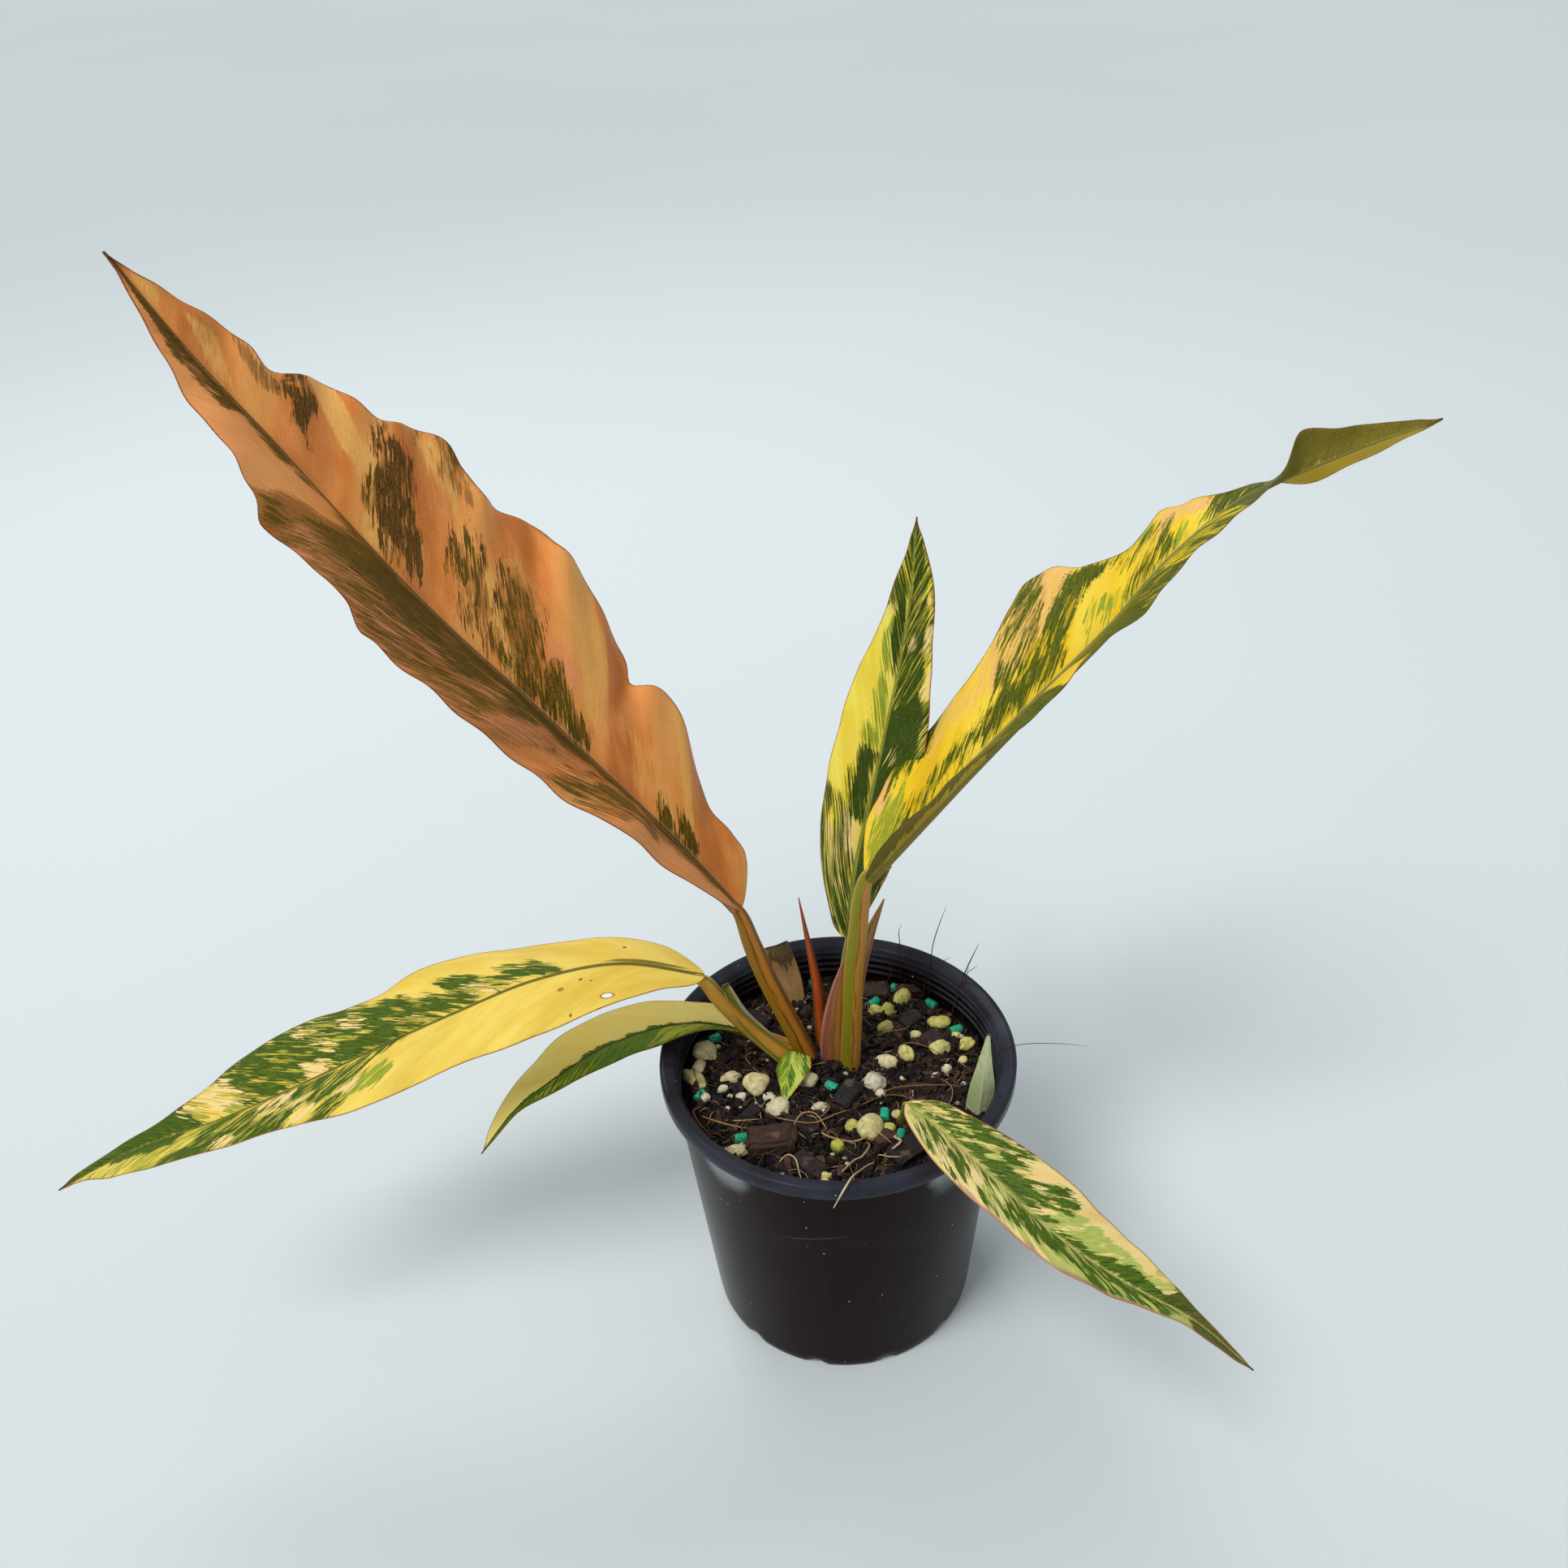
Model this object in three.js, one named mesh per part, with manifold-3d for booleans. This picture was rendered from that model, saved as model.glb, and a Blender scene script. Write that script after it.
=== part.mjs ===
// Potted caramel marble philodendron: six variegated leaves on stalks that rise from one crown,
// with the small leaves, sheaths and a new spike round it, in a filled 130 mm nursery pot.
// Millimetres, +Z up. The origin is the centre of the pot's flat underside, and -Y is the front.

import * as THREE from 'three';
import { mergeVertices } from 'three/addons/utils/BufferGeometryUtils.js';
import Module from 'manifold-3d';

const wasm = await Module();
wasm.setup();

// Fits
const CLEARANCE = 0.3;            // gap that touching pieces keep
const WELD = 1e-4;                // points closer than this are one

// Pot
const POT_HEIGHT = 116.2;
const RIM_RADIUS = 65;
const RIM_BAND = 6;               // height of the upright outer band of the rim
const RIM_CREST = 2.4;            // width of the flat top of the rim
const RIM_INNER_RADIUS = 60;
const RIM_DROP = 1.4;             // fall from the crest to the rim's inner edge
const RIM_FILLET = 2;             // height in which the wall swells out to the rim
const WALL_TOP_RADIUS = 60.4;     // outside of the wall just under the rim
const BASE_RADIUS = 50.5;
const BEVEL = 1;                  // on the pot's corners, inside and out
const WALL = 1.5;
const FLOOR = 2;
const FACETS = 40;                // sides of the round pot
const WALL_RIDGES = [112, 108.6, 105.2];  // heights of the raised lines inside the wall
const WALL_RIDGE_DEPTH = 0.5;
const WALL_RIDGE_HALF = 0.8;      // half the height of a raised line
const DRAIN_COUNT = 12;           // drain notches round the foot
const DRAIN_WIDTH = 7;
const DRAIN_HEIGHT = 4.5;
const DRAIN_DEPTH = 4.5;

// Soil
const SOIL_LEVEL = 100;           // mean height of the soil at the wall
const SOIL_MOUND = 1.2;           // rise of the middle over the wall
const SOIL_LUMP = 0.9;            // height of the lumps in the surface
const SOIL_WAVES = [              // each lump wave: run along x, run along y, phase and share
  [0.21, 0.19, 1, 1],
  [0.43, 0.37, 0, 0.6],
  [0.71, -0.59, 1.6, 0.4],
];
const SOIL_RINGS = [0, 12, 24, 36, 48];
const SOIL_FACETS = 24;           // sides of the round soil

// Crown, the short stem under the soil surface that every stalk grows from
const CROWN_CENTRE = [-4, 13];
const CROWN_RADII = [12.5, 9];
const CROWN_BOTTOM = 62;
const CROWN_TOP = 99.5;
const CROWN_SIDES = 14;
const CROWN_FOOT = 0.7;           // its width at the bottom and at the top, as shares
const CROWN_SHOULDER = 0.8;

// Blades
const BLADE_THICKNESS = 0.8;
const COLUMNS = [0, 0.12, 0.5, 1];  // shares of the half width where the half blade is creased
const BASE_ROUNDING = 0.05;       // share of the length in which the base rounds out to full width
const LEAST_HALF_WIDTH = 0.9;
const BASE_STATIONS = [0, 0.006, 0.02];   // extra stations where a leaf's base rounds out
const FIRST_STATION = 0.045;      // where the even stations of such a leaf begin
const KEEL_SHOULDER = 0.45;       // depth of the keel beside the midrib, as a share
const KEEL_FADE = 0.85;           // share of the keel that is gone at the tip
const VEIN_LEAN = 0.8;            // how far the side veins run forward, per width
const RIPPLE_SHARE = 0.4;         // height and length of the small waves on the large ones
const RIPPLE_LENGTH = 0.43;

// A number or list between evenly spaced knots, on one smooth curve through all of them
function smooth(knots, share) {
  const last = knots.length - 1;
  const place = THREE.MathUtils.clamp(share, 0, 1) * last;
  const index = Math.min(Math.floor(place), last - 1);
  const u = place - index;
  const mix = (a, b, c, d) => 0.5 * (2 * b + (c - a) * u + (2 * a - 5 * b + 4 * c - d) * u * u
    + (3 * b - a - 3 * c + d) * u * u * u);
  const pick = (value) => {
    const b = value(knots[index]);
    const c = value(knots[index + 1]);
    const a = index > 0 ? value(knots[index - 1]) : 2 * b - c;
    const d = index < last - 1 ? value(knots[index + 2]) : 2 * c - b;
    return mix(a, b, c, d);
  };
  if (typeof knots[0] === 'number') return pick((knot) => knot);
  return knots[0].map((_, axis) => pick((knot) => knot[axis]));
}

const vector = (list) => new THREE.Vector3(...list);

function curveLength(knots) {
  let total = 0;
  for (let step = 1; step <= 100; step++) {
    total += vector(smooth(knots, step / 100)).distanceTo(vector(smooth(knots, (step - 1) / 100)));
  }
  return total;
}

// Leaves. midrib runs from base to tip, roll turns the upper face about it, in degrees, from
// facing straight up, left and right are half widths seen from above, from base to tip, and
// lift is how many degrees each half rises from the midrib. ruffle is the height, wavelength
// and phase of the waves that run out along the side veins. keel is the midrib's depth below.
const LEAVES = {
  leaf_1: {
    midrib: [[-32, 14, 172], [-52, 16, 201], [-74, 19, 229], [-96, 23, 256], [-119, 28, 283],
      [-140, 33, 311], [-160, 38, 340], [-181, 43, 368], [-201, 48, 397]],
    roll: [-8, -8],
    left: [4, 20, 32, 40, 43, 44, 42, 36, 22, 10, 0.5],
    right: [10, 17, 19, 20, 26, 32, 37, 39, 36, 41, 45, 48, 51, 51, 53, 48, 42, 44, 47, 43, 32, 29,
      26, 15, 14, 13, 8, 3, 0.5],
    liftLeft: [26, 28, 29, 28, 35, 31, 27, 29, 30, 28, 27, 28, 28, 27, 23, 22, 24, 10, 12, 20, 20],
    liftRight: [30, 26, 22, 22, 24],
    curl: 14,
    ruffleLeft: [1.2, 46, 0.5],
    ruffleRight: [3, 46, 2.4],
    keel: 2.6,
    stations: 30,
    colour: 0xcd7d41,
  },
  leaf_2: {
    midrib: [[12, 9, 187], [31, 10, 210], [50, 12, 232], [69, 13, 254], [89, 15, 276],
      [107, 17, 299], [129, 20, 317], [157, 22, 328], [185, 24, 336]],
    roll: [0, -2, -4, -4, -6, -8, -10, -10, -12, -24, -62, -92, -100],
    left: [8, 18, 21, 25, 25, 26, 28, 27, 29, 30, 35, 40, 36, 22, 18, 18, 20, 9, 7, 8, 8, 7.2, 5.2,
      2.8, 0.5],
    right: [6, 9, 12, 15, 17, 18, 19, 20, 21, 22, 23, 23, 21, 19, 17, 15, 13, 12, 11, 11, 11, 7.5,
      5, 2.6, 0.5],
    liftLeft: [22, 24, 26, 28, 30, 32, 32, 26, 24, 16, 14, 14, 14],
    liftRight: [45, 49, 50, 46, 43, 41, 35, 27, 26, 24, 23, 22, 24, 17, 8, 9, 14, 6, -4, -2, 46, 25,
      30, 20, 20],
    curl: 10,
    ruffleLeft: [2.2, 52, 0.8],
    ruffleRight: [1, 40, 0],
    keel: 2.6,
    stations: 30,
    colour: 0xe6c44a,
  },
  leaf_3: {
    midrib: [[6, 22, 150], [9, 28, 175], [15, 35, 199], [21, 43, 222], [27, 52, 245],
      [32, 62, 268], [35, 72, 292]],
    roll: [0, 0],
    left: [5, 7.5, 11, 15, 17.5, 18, 18, 17, 16.5, 14.5, 11, 8, 6, 2.5, 0.5],
    right: [5, 7, 12, 17.5, 19.5, 20, 20.5, 20, 17.5, 15, 13, 11, 8.5, 4.5, 0.5],
    liftLeft: [24, 16, 12, 14, 16],
    liftRight: [24, 22, 20, 20, 20],
    curl: 10,
    ruffleLeft: [0.6, 50, 0],
    ruffleRight: [0.6, 50, 1],
    keel: 1.6,
    stations: 20,
    colour: 0x9fae45,
  },
  leaf_4: {
    midrib: [[-46, 5, 151], [-75, 3, 160], [-105, 0, 157], [-134, -5, 148], [-162, -10, 138],
      [-190, -16, 128], [-219, -22, 119], [-248, -28, 113], [-276, -35, 102]],
    roll: [0, 0],
    left: [8, 10, 16, 20.5, 23.5, 25, 26.5, 25.5, 26, 25.5, 26.5, 26, 24, 19.5, 18, 17, 17.5, 16,
      11.5, 4.5, 0.5],
    right: [8, 14.5, 16.5, 19, 21, 25.5, 28.5, 31, 32.5, 30.5, 27.5, 27.5, 30.5, 29, 27.5, 22, 13,
      7, 5, 3.5, 0.5],
    liftLeft: [4, 0, -2, 0, 4, 8, 12, 14, 14],
    liftRight: [-4, -6, -6, 0, 6, 6, 8, 8, 8],
    curl: 8,
    ruffleLeft: [0.8, 60, 1],
    ruffleRight: [0.8, 60, 0],
    keel: 2,
    stations: 26,
    colour: 0xd9b84e,
  },
  leaf_5: {
    midrib: [[-33, 20, 109], [-50, 17, 117], [-67, 12, 120], [-86, 4, 119], [-103, -5, 114],
      [-118, -12, 106], [-131, -20, 93]],
    roll: [0, 0],
    left: [2, 3, 5, 7.5, 9.5, 9, 9.5, 8, 6.5, 4, 2, 1.5, 0.5],
    right: [7.5, 10.5, 11, 12.5, 15, 15.5, 15, 15, 13, 11, 7.5, 4, 0.5],
    liftLeft: [14, 8, 4, 4, 4],
    liftRight: [10, 8, 8, 8, 8],
    curl: 8,
    ruffleLeft: [0.4, 50, 0],
    ruffleRight: [0.4, 50, 1],
    keel: 1.2,
    stations: 18,
    colour: 0xb7b158,
  },
  leaf_6: {
    midrib: [[23, -27, 116], [36, -48, 119], [50, -68, 118], [66, -86, 113], [84, -99, 107],
      [104, -110, 101], [122, -118, 86]],
    roll: [0, 0],
    left: [2, 8, 10.5, 13, 15.5, 16.5, 17.5, 17, 16, 13.5, 10.5, 6.5, 2.5, 1.2, 0.5],
    right: [3, 8, 11, 12.5, 13.5, 13, 11.5, 11.5, 11, 9, 6, 5, 4.5, 3, 0.5],
    liftLeft: [20, 14, 10, 10, 10],
    liftRight: [20, 14, 12, 12, 12],
    curl: 8,
    ruffleLeft: [0.6, 40, 0],
    ruffleRight: [0.6, 40, 2],
    keel: 1.2,
    stations: 20,
    colour: 0xb9b765,
  },
};

// Small pieces shaped as blades. up is the way that the upper face looks.
const SMALL_BLADES = {
  leaf_7_small: {
    midrib: [[-16, 7.5, 109], [-17, 1, 108], [-17.5, -5, 105.5], [-17.8, -10, 102]],
    up: [0, 0, 1],
    roll: [0, 0],
    left: [7, 7.5, 5.5, 3, 0.5],
    right: [6, 6.5, 4.5, 2.5, 0.5],
    liftLeft: [-14, -14],
    liftRight: [-48, -48],
    keel: 0.3,
    stations: 6,
    colour: 0x9db53c,
  },
  leaf_8_small: {
    midrib: [[49, -21, 96], [50, -20.5, 110], [51, -19.5, 124], [52, -18.5, 138]],
    up: [-0.1, -1, 0.3],
    roll: [0, 0],
    left: [4.5, 5, 4.5, 3.2, 1.8, 0.5],
    right: [3, 4.8, 5, 3.4, 1.8, 0.5],
    liftLeft: [-14, -14],
    liftRight: [-16, -16],
    keel: 0.3,
    stations: 8,
    colour: 0xbccb96,
  },
  sheath_dry: {
    midrib: [[-13.5, 44, 97], [-15.5, 47.5, 105], [-18, 50, 113], [-20.5, 51, 121.5]],
    up: [0, -1, 0.3],
    roll: [0, 0],
    left: [3.5, 5, 5.5, 5.2, 4.6],
    right: [3, 4.5, 5, 5, 4.4],
    liftLeft: [-12, -12],
    liftRight: [-18, -18],
    keel: 0.2,
    stations: 5,
    colour: 0xa88a5c,
  },
};

// Stalks, sheathed shoots and the root, as smooth paths with radii from the crown outwards
const STALKS = {
  petiole_1: {
    path: [[-6.6, 11, 92], [-9.1, 12, 106], [-12.5, 12.5, 114.6], [-18.9, 13, 128],
      [-24, 13.5, 141], [-28.3, 14, 153.5], [-31.4, 14, 170.8]],
    radii: [[3.6, 3.6], [3.8, 3.6], [3.8, 3.4], [3.7, 3.2], [3.6, 3], [3.5, 2.8], [3.3, 2.6]],
    colour: 0xaf7323,
  },
  petiole_2: {
    path: [[5, 8, 92], [5.3, 8, 107], [5.9, 8, 122.5], [6.4, 8.4, 143], [8.3, 9, 163],
      [11.1, 9, 185.6]],
    radii: [[3.6, 3.6], [3.7, 3.6], [3.7, 3.5], [3.5, 3.2], [3.4, 3], [3.2, 2.7]],
    colour: 0x9a8a2c,
  },
  petiole_3: {
    path: [[2.5, 17, 92], [2.8, 17.8, 108], [3.6, 19, 124], [4.9, 20.6, 138], [6, 21.8, 149]],
    radii: [[2.2, 2.2], [2.2, 2.2], [2.1, 2.1], [2, 2], [1.8, 1.8]],
    colour: 0x8d8c35,
  },
  petiole_4: {
    path: [[-10.5, 13.4, 93], [-15.2, 12.9, 99.5], [-21.4, 12, 105.8], [-30, 11, 116.6],
      [-36.8, 9, 127.9], [-42, 7, 138.2], [-45.6, 5.3, 149.2]],
    radii: [[3.6, 3.6], [3.6, 3.6], [3.5, 3.5], [3.4, 3.3], [3.2, 3.1], [3, 2.9], [2.8, 2.6]],
    colour: 0xc08a3a,
  },
  petiole_5: {
    path: [[-8, 18, 92], [-12, 18.7, 98], [-18, 19.4, 102], [-26, 19.9, 105.8], [-32, 20, 108.6]],
    radii: [[1.9, 1.9], [1.9, 1.9], [1.8, 1.8], [1.8, 1.6], [1.7, 1.5]],
    colour: 0xb8913f,
  },
  petiole_6: {
    path: [[19, -13, 92], [20, -17, 103], [21.5, -22, 111], [22.7, -26, 115]],
    radii: [[2, 2], [2, 2], [1.9, 1.9], [1.7, 1.6]],
    colour: 0x9c9a3a,
  },
  sheath_pink: {
    path: [[-1, 11.5, 92], [-1.4, 10.8, 108], [-0.6, 10.8, 122], [1.4, 11.4, 136], [4.2, 12, 149.5]],
    radii: [[5, 4.2], [5, 4.2], [4.1, 3.6], [2.6, 2.3], [0.4, 0.4]],
    colour: 0xb98a7c,
  },
  spike_cataphyll: {
    path: [[-5, 17.5, 92], [-5.2, 18, 112], [-6, 18, 131], [-8.2, 18, 149], [-11.4, 18, 173.3]],
    radii: [[2.8, 2.7], [3, 2.6], [2.6, 2.2], [1.7, 1.5], [0.4, 0.4]],
    colour: 0xa54b1e,
  },
  cataphyll_narrow: {
    path: [[7, 14, 92], [7.6, 14, 116], [9.4, 14.2, 138], [12.6, 15, 155], [18.7, 16, 172.2]],
    radii: [[2, 1.8], [2, 1.8], [2, 1.7], [1.6, 1.4], [0.35, 0.35]],
    colour: 0xb07f5c,
  },
  root_over_rim: {
    path: [[13.5, -37, 97], [8.5, -44.5, 104.5], [4.6, -54, 112.5], [1.4, -61.5, 118],
      [-2, -66.6, 117], [-5.2, -68.4, 111.5]],
    radii: [[0.7, 0.7], [0.7, 0.7], [0.7, 0.7], [0.7, 0.7], [0.6, 0.6], [0.4, 0.4]],
    colour: 0xc8b48c,
  },
};
const STALK_SIDES = 10;
const STALK_STEPS = 9;
const ROOT_SIDES = 6;

// The sheath that grows from the fourth stalk's upper side and opens as a channel
const STALK_SHEATH = {
  midrib: [[-13.5, 15.4, 100], [-20.6, 15.2, 107], [-28.6, 14.2, 118], [-35, 12.4, 130],
    [-38.7, 10.4, 144.5]],
  up: [0.9, 0.2, 0.5],
  roll: [0, 0],
  left: [3.2, 3.6, 3.4, 2.8, 0.5],
  right: [2.2, 2.6, 2.4, 2, 0.5],
  liftLeft: [30, 30],
  liftRight: [36, 36],
  keel: 2.2,
  stations: 8,
};

// Small leaf 7's own stalk, which joins its folded base to the crown
const LEAF_7_STALK = {
  path: [[-9, 8.5, 92], [-11.6, 7.6, 101], [-14.4, 7.4, 107], [-16.2, 7, 109.2]],
  radii: [[1.2, 1.2], [1.2, 1.2], [1.1, 1.1], [0.8, 0.8]],
};

// Pumice stones on the soil: centre x, y, then length, width, height and turn in degrees
const STONES = [
  [-50.4, 18.2, 9.6, 8.6, 6, 20], [-51.8, 10.3, 6, 4.5, 3.4, 70], [-53.4, 4.5, 11, 6, 5, -50],
  [-39.6, 3.5, 8, 4.6, 4, 10], [-30, -1.3, 9, 8, 5.4, 0], [-42.6, -1.4, 4.4, 3.6, 3, 40],
  [-49.6, -7, 4.4, 3.6, 3, 10], [-22.4, -13.4, 8.4, 7.4, 4.6, 30], [-12, 0.5, 8, 7, 5, 15],
  [-38.9, -32.3, 10.6, 5, 4, 10], [3.3, 50.4, 6.4, 4.2, 4, 80], [27.6, 41.9, 8.6, 7, 5, 60],
  [19.6, 37, 7.6, 4, 3.4, 0], [20, 26, 6, 5, 4, 45], [40.6, 26.6, 7.6, 5.8, 4.4, -20],
  [39.7, 13.7, 7.4, 5.6, 4.2, -10], [26.4, 9.6, 6.8, 6, 4.6, -50], [19.4, 7, 7.8, 6, 4.4, -30],
  [49.6, 14.8, 6, 4.6, 3.4, 20], [13.2, -3.6, 8.4, 7.6, 5.4, 0], [9.7, -25.8, 10.4, 9.4, 7, 70],
  [4, -24, 5, 4.4, 4, 0], [16.4, -26.4, 5.4, 5, 4, 0], [-2, -33, 5, 5, 4, 0],
  [47.4, 7, 4, 3, 2.6, 60], [-6.6, -46, 5, 4, 3, 0], [40.6, 3, 4, 4, 3, 0],
];
const FINE_STONE = 10;             // stones longer than this are more finely rounded
const STONE_UNEVEN = 0.24;
const STONE_SEED = 11;
const STONE_SINK = 0.36;          // share of a stone's height that lies under the soil's level

// Feed pellets: centre x, y and turn in degrees
const PELLETS = [
  [-6.5, 54, 0], [16.5, 40, 50], [26.8, 51, 80], [43.5, 43, 0], [46.6, 22.4, 20], [-51, -6, 60],
  [-36, -27, 10], [-2.5, -4.4, -40], [15.6, -19.6, 80], [20.4, -29.6, 70],
];
const PELLET_LENGTH = 4.4;
const PELLET_RADIUS = 1.6;
const PELLET_SIDES = 6;
const PELLET_RISE = 0.5;          // share of its radius that its centre lies over the soil

// Bark and charcoal pieces: centre x, y, then length, width, height and turn in degrees
const BARKS = [
  [-25.4, -28.6, 16, 10, 6, 5], [22, -37.5, 13, 9, 6, 35], [-12, -41, 11, 6, 4, -40],
  [17.6, 47, 9, 7, 4, 0], [31, 47, 9, 6, 4, 0], [-33, -16, 9, 5, 4, 50], [3, -9, 11, 7, 4, 60],
  [37, 19, 8, 6, 4, 30], [27, -6, 12, 3, 3, 0], [-2, 30, 10, 6, 4, 20], [-30, 34, 11, 7, 4, -30],
  [38, -12, 9, 6, 3, 70],
];
const BARK_UNEVEN = 0.3;
const BARK_SEED = 41;
const BARK_SINK = 0.4;

// Repeatable draws between 0 and 1
function seededRandom(seed) {
  let state = seed;
  return () => {
    state = (state * 1664525 + 1013904223) % 4294967296;
    return state / 4294967296;
  };
}

// Closed geometry to solid and back
function toSolid(geometry) {
  const bare = geometry.clone();
  bare.deleteAttribute('normal');
  bare.deleteAttribute('uv');
  const merged = mergeVertices(bare, WELD);
  return new wasm.Manifold(new wasm.Mesh({
    numProp: 3,
    vertProperties: new Float32Array(merged.attributes.position.array),
    triVerts: new Uint32Array(merged.index.array),
  }));
}

function largestPiece(solid) {
  const pieces = solid.decompose();
  pieces.sort((a, b) => b.volume() - a.volume());
  return pieces[0];
}

function toGeometry(solid) {
  const mesh = solid.getMesh();
  const geometry = new THREE.BufferGeometry();
  geometry.setAttribute('position', new THREE.BufferAttribute(mesh.vertProperties, 3));
  geometry.setIndex(new THREE.BufferAttribute(mesh.triVerts, 1));
  geometry.computeVertexNormals();
  return geometry;
}

function indexedGeometry(points, triangles) {
  const geometry = new THREE.BufferGeometry();
  const flat = points.flatMap((point) => [point.x, point.y, point.z]);
  geometry.setAttribute('position', new THREE.Float32BufferAttribute(flat, 3));
  geometry.setIndex(triangles);
  return geometry;
}

// The turned frame of a blade at one share of its length
function bladeFrame(leaf, share) {
  const step = 1e-3;
  const centre = vector(smooth(leaf.midrib, share));
  const ahead = vector(smooth(leaf.midrib, Math.min(share + step, 1)));
  const along = ahead.sub(vector(smooth(leaf.midrib, Math.max(share - step, 0)))).normalize();
  const up = vector(leaf.up ?? [0, 0, 1]);
  const normal = up.addScaledVector(along, -up.dot(along)).normalize();
  const side = new THREE.Vector3().crossVectors(along, normal);
  const roll = THREE.MathUtils.degToRad(smooth(leaf.roll, share));
  const turnedNormal = normal.clone().multiplyScalar(Math.cos(roll)).addScaledVector(side, Math.sin(roll));
  const turnedSide = side.clone().multiplyScalar(Math.cos(roll)).addScaledVector(normal, -Math.sin(roll));
  return { centre, along, normal: turnedNormal, side: turnedSide };
}

// Height of the waves that follow the side veins, at a share of the half width
function ruffleHeight(wave, length, share, out, across) {
  if (!wave) return 0;
  const [height, wavelength, phase] = wave;
  const place = (share * length - VEIN_LEAN * out) / wavelength * 2 * Math.PI;
  const fade = Math.sqrt(Math.sin(Math.PI * THREE.MathUtils.clamp(share, 0, 1)));
  const ripple = Math.sin(place + phase)
    + RIPPLE_SHARE * Math.sin(place / RIPPLE_LENGTH + 2 * phase);
  return height * across * across * fade * ripple;
}

// One point of a blade's upper face with the way that the face looks there
function bladePoint(leaf, length, frame, share, hand, across, grow) {
  const widths = hand > 0 ? leaf.right : leaf.left;
  const lifts = hand > 0 ? leaf.liftRight : leaf.liftLeft;
  const wave = hand > 0 ? leaf.ruffleRight : leaf.ruffleLeft;
  const rounding = Math.min(share / BASE_ROUNDING, 1);
  const wide = leaf.up ? 1 : Math.sqrt(rounding * (2 - rounding));
  const halfWidth = Math.max(smooth(widths, share) * wide, LEAST_HALF_WIDTH) + grow;
  const lift = THREE.MathUtils.degToRad(smooth(lifts, share) + (leaf.curl ?? 0) * (0.5 - across));
  const out = halfWidth * across;
  const face = frame.normal.clone().multiplyScalar(Math.cos(lift))
    .addScaledVector(frame.side, -hand * Math.sin(lift));
  const point = frame.centre.clone()
    .addScaledVector(frame.side, hand * out * Math.cos(lift))
    .addScaledVector(frame.normal, out * Math.sin(lift))
    .addScaledVector(face, ruffleHeight(wave, length, share, out, across));
  return { point, face: across === 0 ? frame.normal.clone() : face };
}

// A blade as one thin closed body, split into triangles alike on both faces
function bladeGeometry(leaf, grow = 0) {
  const length = curveLength(leaf.midrib);
  const shares = leaf.up ? [] : [...BASE_STATIONS];
  const first = leaf.up ? 0 : FIRST_STATION;
  for (let step = 0; step <= leaf.stations; step++) {
    shares.push(first + (1 - first) * step / leaf.stations);
  }
  const columns = [...COLUMNS.slice(1).reverse().map((across) => [-1, across]),
    ...COLUMNS.map((across) => [1, across])];
  const upper = [];
  const lower = [];
  for (const share of shares) {
    const frame = bladeFrame(leaf, share);
    if (grow && share === 0) frame.centre.addScaledVector(frame.along, -grow);
    if (grow && share === 1) frame.centre.addScaledVector(frame.along, grow);
    for (const [hand, across] of columns) {
      const { point, face } = bladePoint(leaf, length, frame, share, hand, across, grow);
      const ridge = across === 0 ? 1 : across <= COLUMNS[1] ? KEEL_SHOULDER : 0;
      const depth = BLADE_THICKNESS + leaf.keel * ridge * (1 - KEEL_FADE * share);
      upper.push(point.clone().addScaledVector(face, grow));
      lower.push(point.clone().addScaledVector(face, -depth - grow));
    }
  }
  const rows = shares.length;
  const wide = columns.length;
  const under = upper.length;
  const triangles = [];
  const at = (row, column) => row * wide + column;
  for (let row = 0; row < rows - 1; row++) {
    for (let column = 0; column < wide - 1; column++) {
      const a = at(row, column);
      const b = at(row, column + 1);
      const c = at(row + 1, column + 1);
      const d = at(row + 1, column);
      triangles.push(a, b, c, a, c, d);
      triangles.push(under + a, under + c, under + b, under + a, under + d, under + c);
    }
    for (const [column, flip] of [[0, false], [wide - 1, true]]) {
      const a = at(row, column);
      const d = at(row + 1, column);
      if (flip) triangles.push(a, under + a, d, d, under + a, under + d);
      else triangles.push(a, d, under + a, d, under + d, under + a);
    }
  }
  for (const [row, flip] of [[0, false], [rows - 1, true]]) {
    for (let column = 0; column < wide - 1; column++) {
      const a = at(row, column);
      const b = at(row, column + 1);
      if (flip) triangles.push(a, b, under + a, b, under + b, under + a);
      else triangles.push(a, under + a, b, b, under + a, under + b);
    }
  }
  return indexedGeometry([...upper, ...lower], triangles);
}

// A stalk: oval rings round a smooth path, closed at both ends
function stalkGeometry(stalk, grow = 0, sides = STALK_SIDES) {
  const points = [];
  const triangles = [];
  for (let step = 0; step <= STALK_STEPS; step++) {
    const share = step / STALK_STEPS;
    const frame = bladeFrame({ midrib: stalk.path, up: [1, 0, 0], roll: [0, 0] }, share);
    if (step === 0) frame.centre.addScaledVector(frame.along, -grow);
    if (step === STALK_STEPS) frame.centre.addScaledVector(frame.along, grow);
    const [wide, deep] = smooth(stalk.radii, share);
    for (let side = 0; side < sides; side++) {
      const angle = side / sides * 2 * Math.PI;
      points.push(frame.centre.clone()
        .addScaledVector(frame.normal, (wide + grow) * Math.cos(angle))
        .addScaledVector(frame.side, (deep + grow) * Math.sin(angle)));
    }
  }
  for (let step = 0; step < STALK_STEPS; step++) {
    for (let side = 0; side < sides; side++) {
      const a = step * sides + side;
      const b = step * sides + (side + 1) % sides;
      triangles.push(a, b, a + sides, b, b + sides, a + sides);
    }
  }
  const last = STALK_STEPS * sides;
  for (let side = 1; side < sides - 1; side++) {
    triangles.push(0, side + 1, side);
    triangles.push(last, last + side, last + side + 1);
  }
  return indexedGeometry(points, triangles);
}

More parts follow.
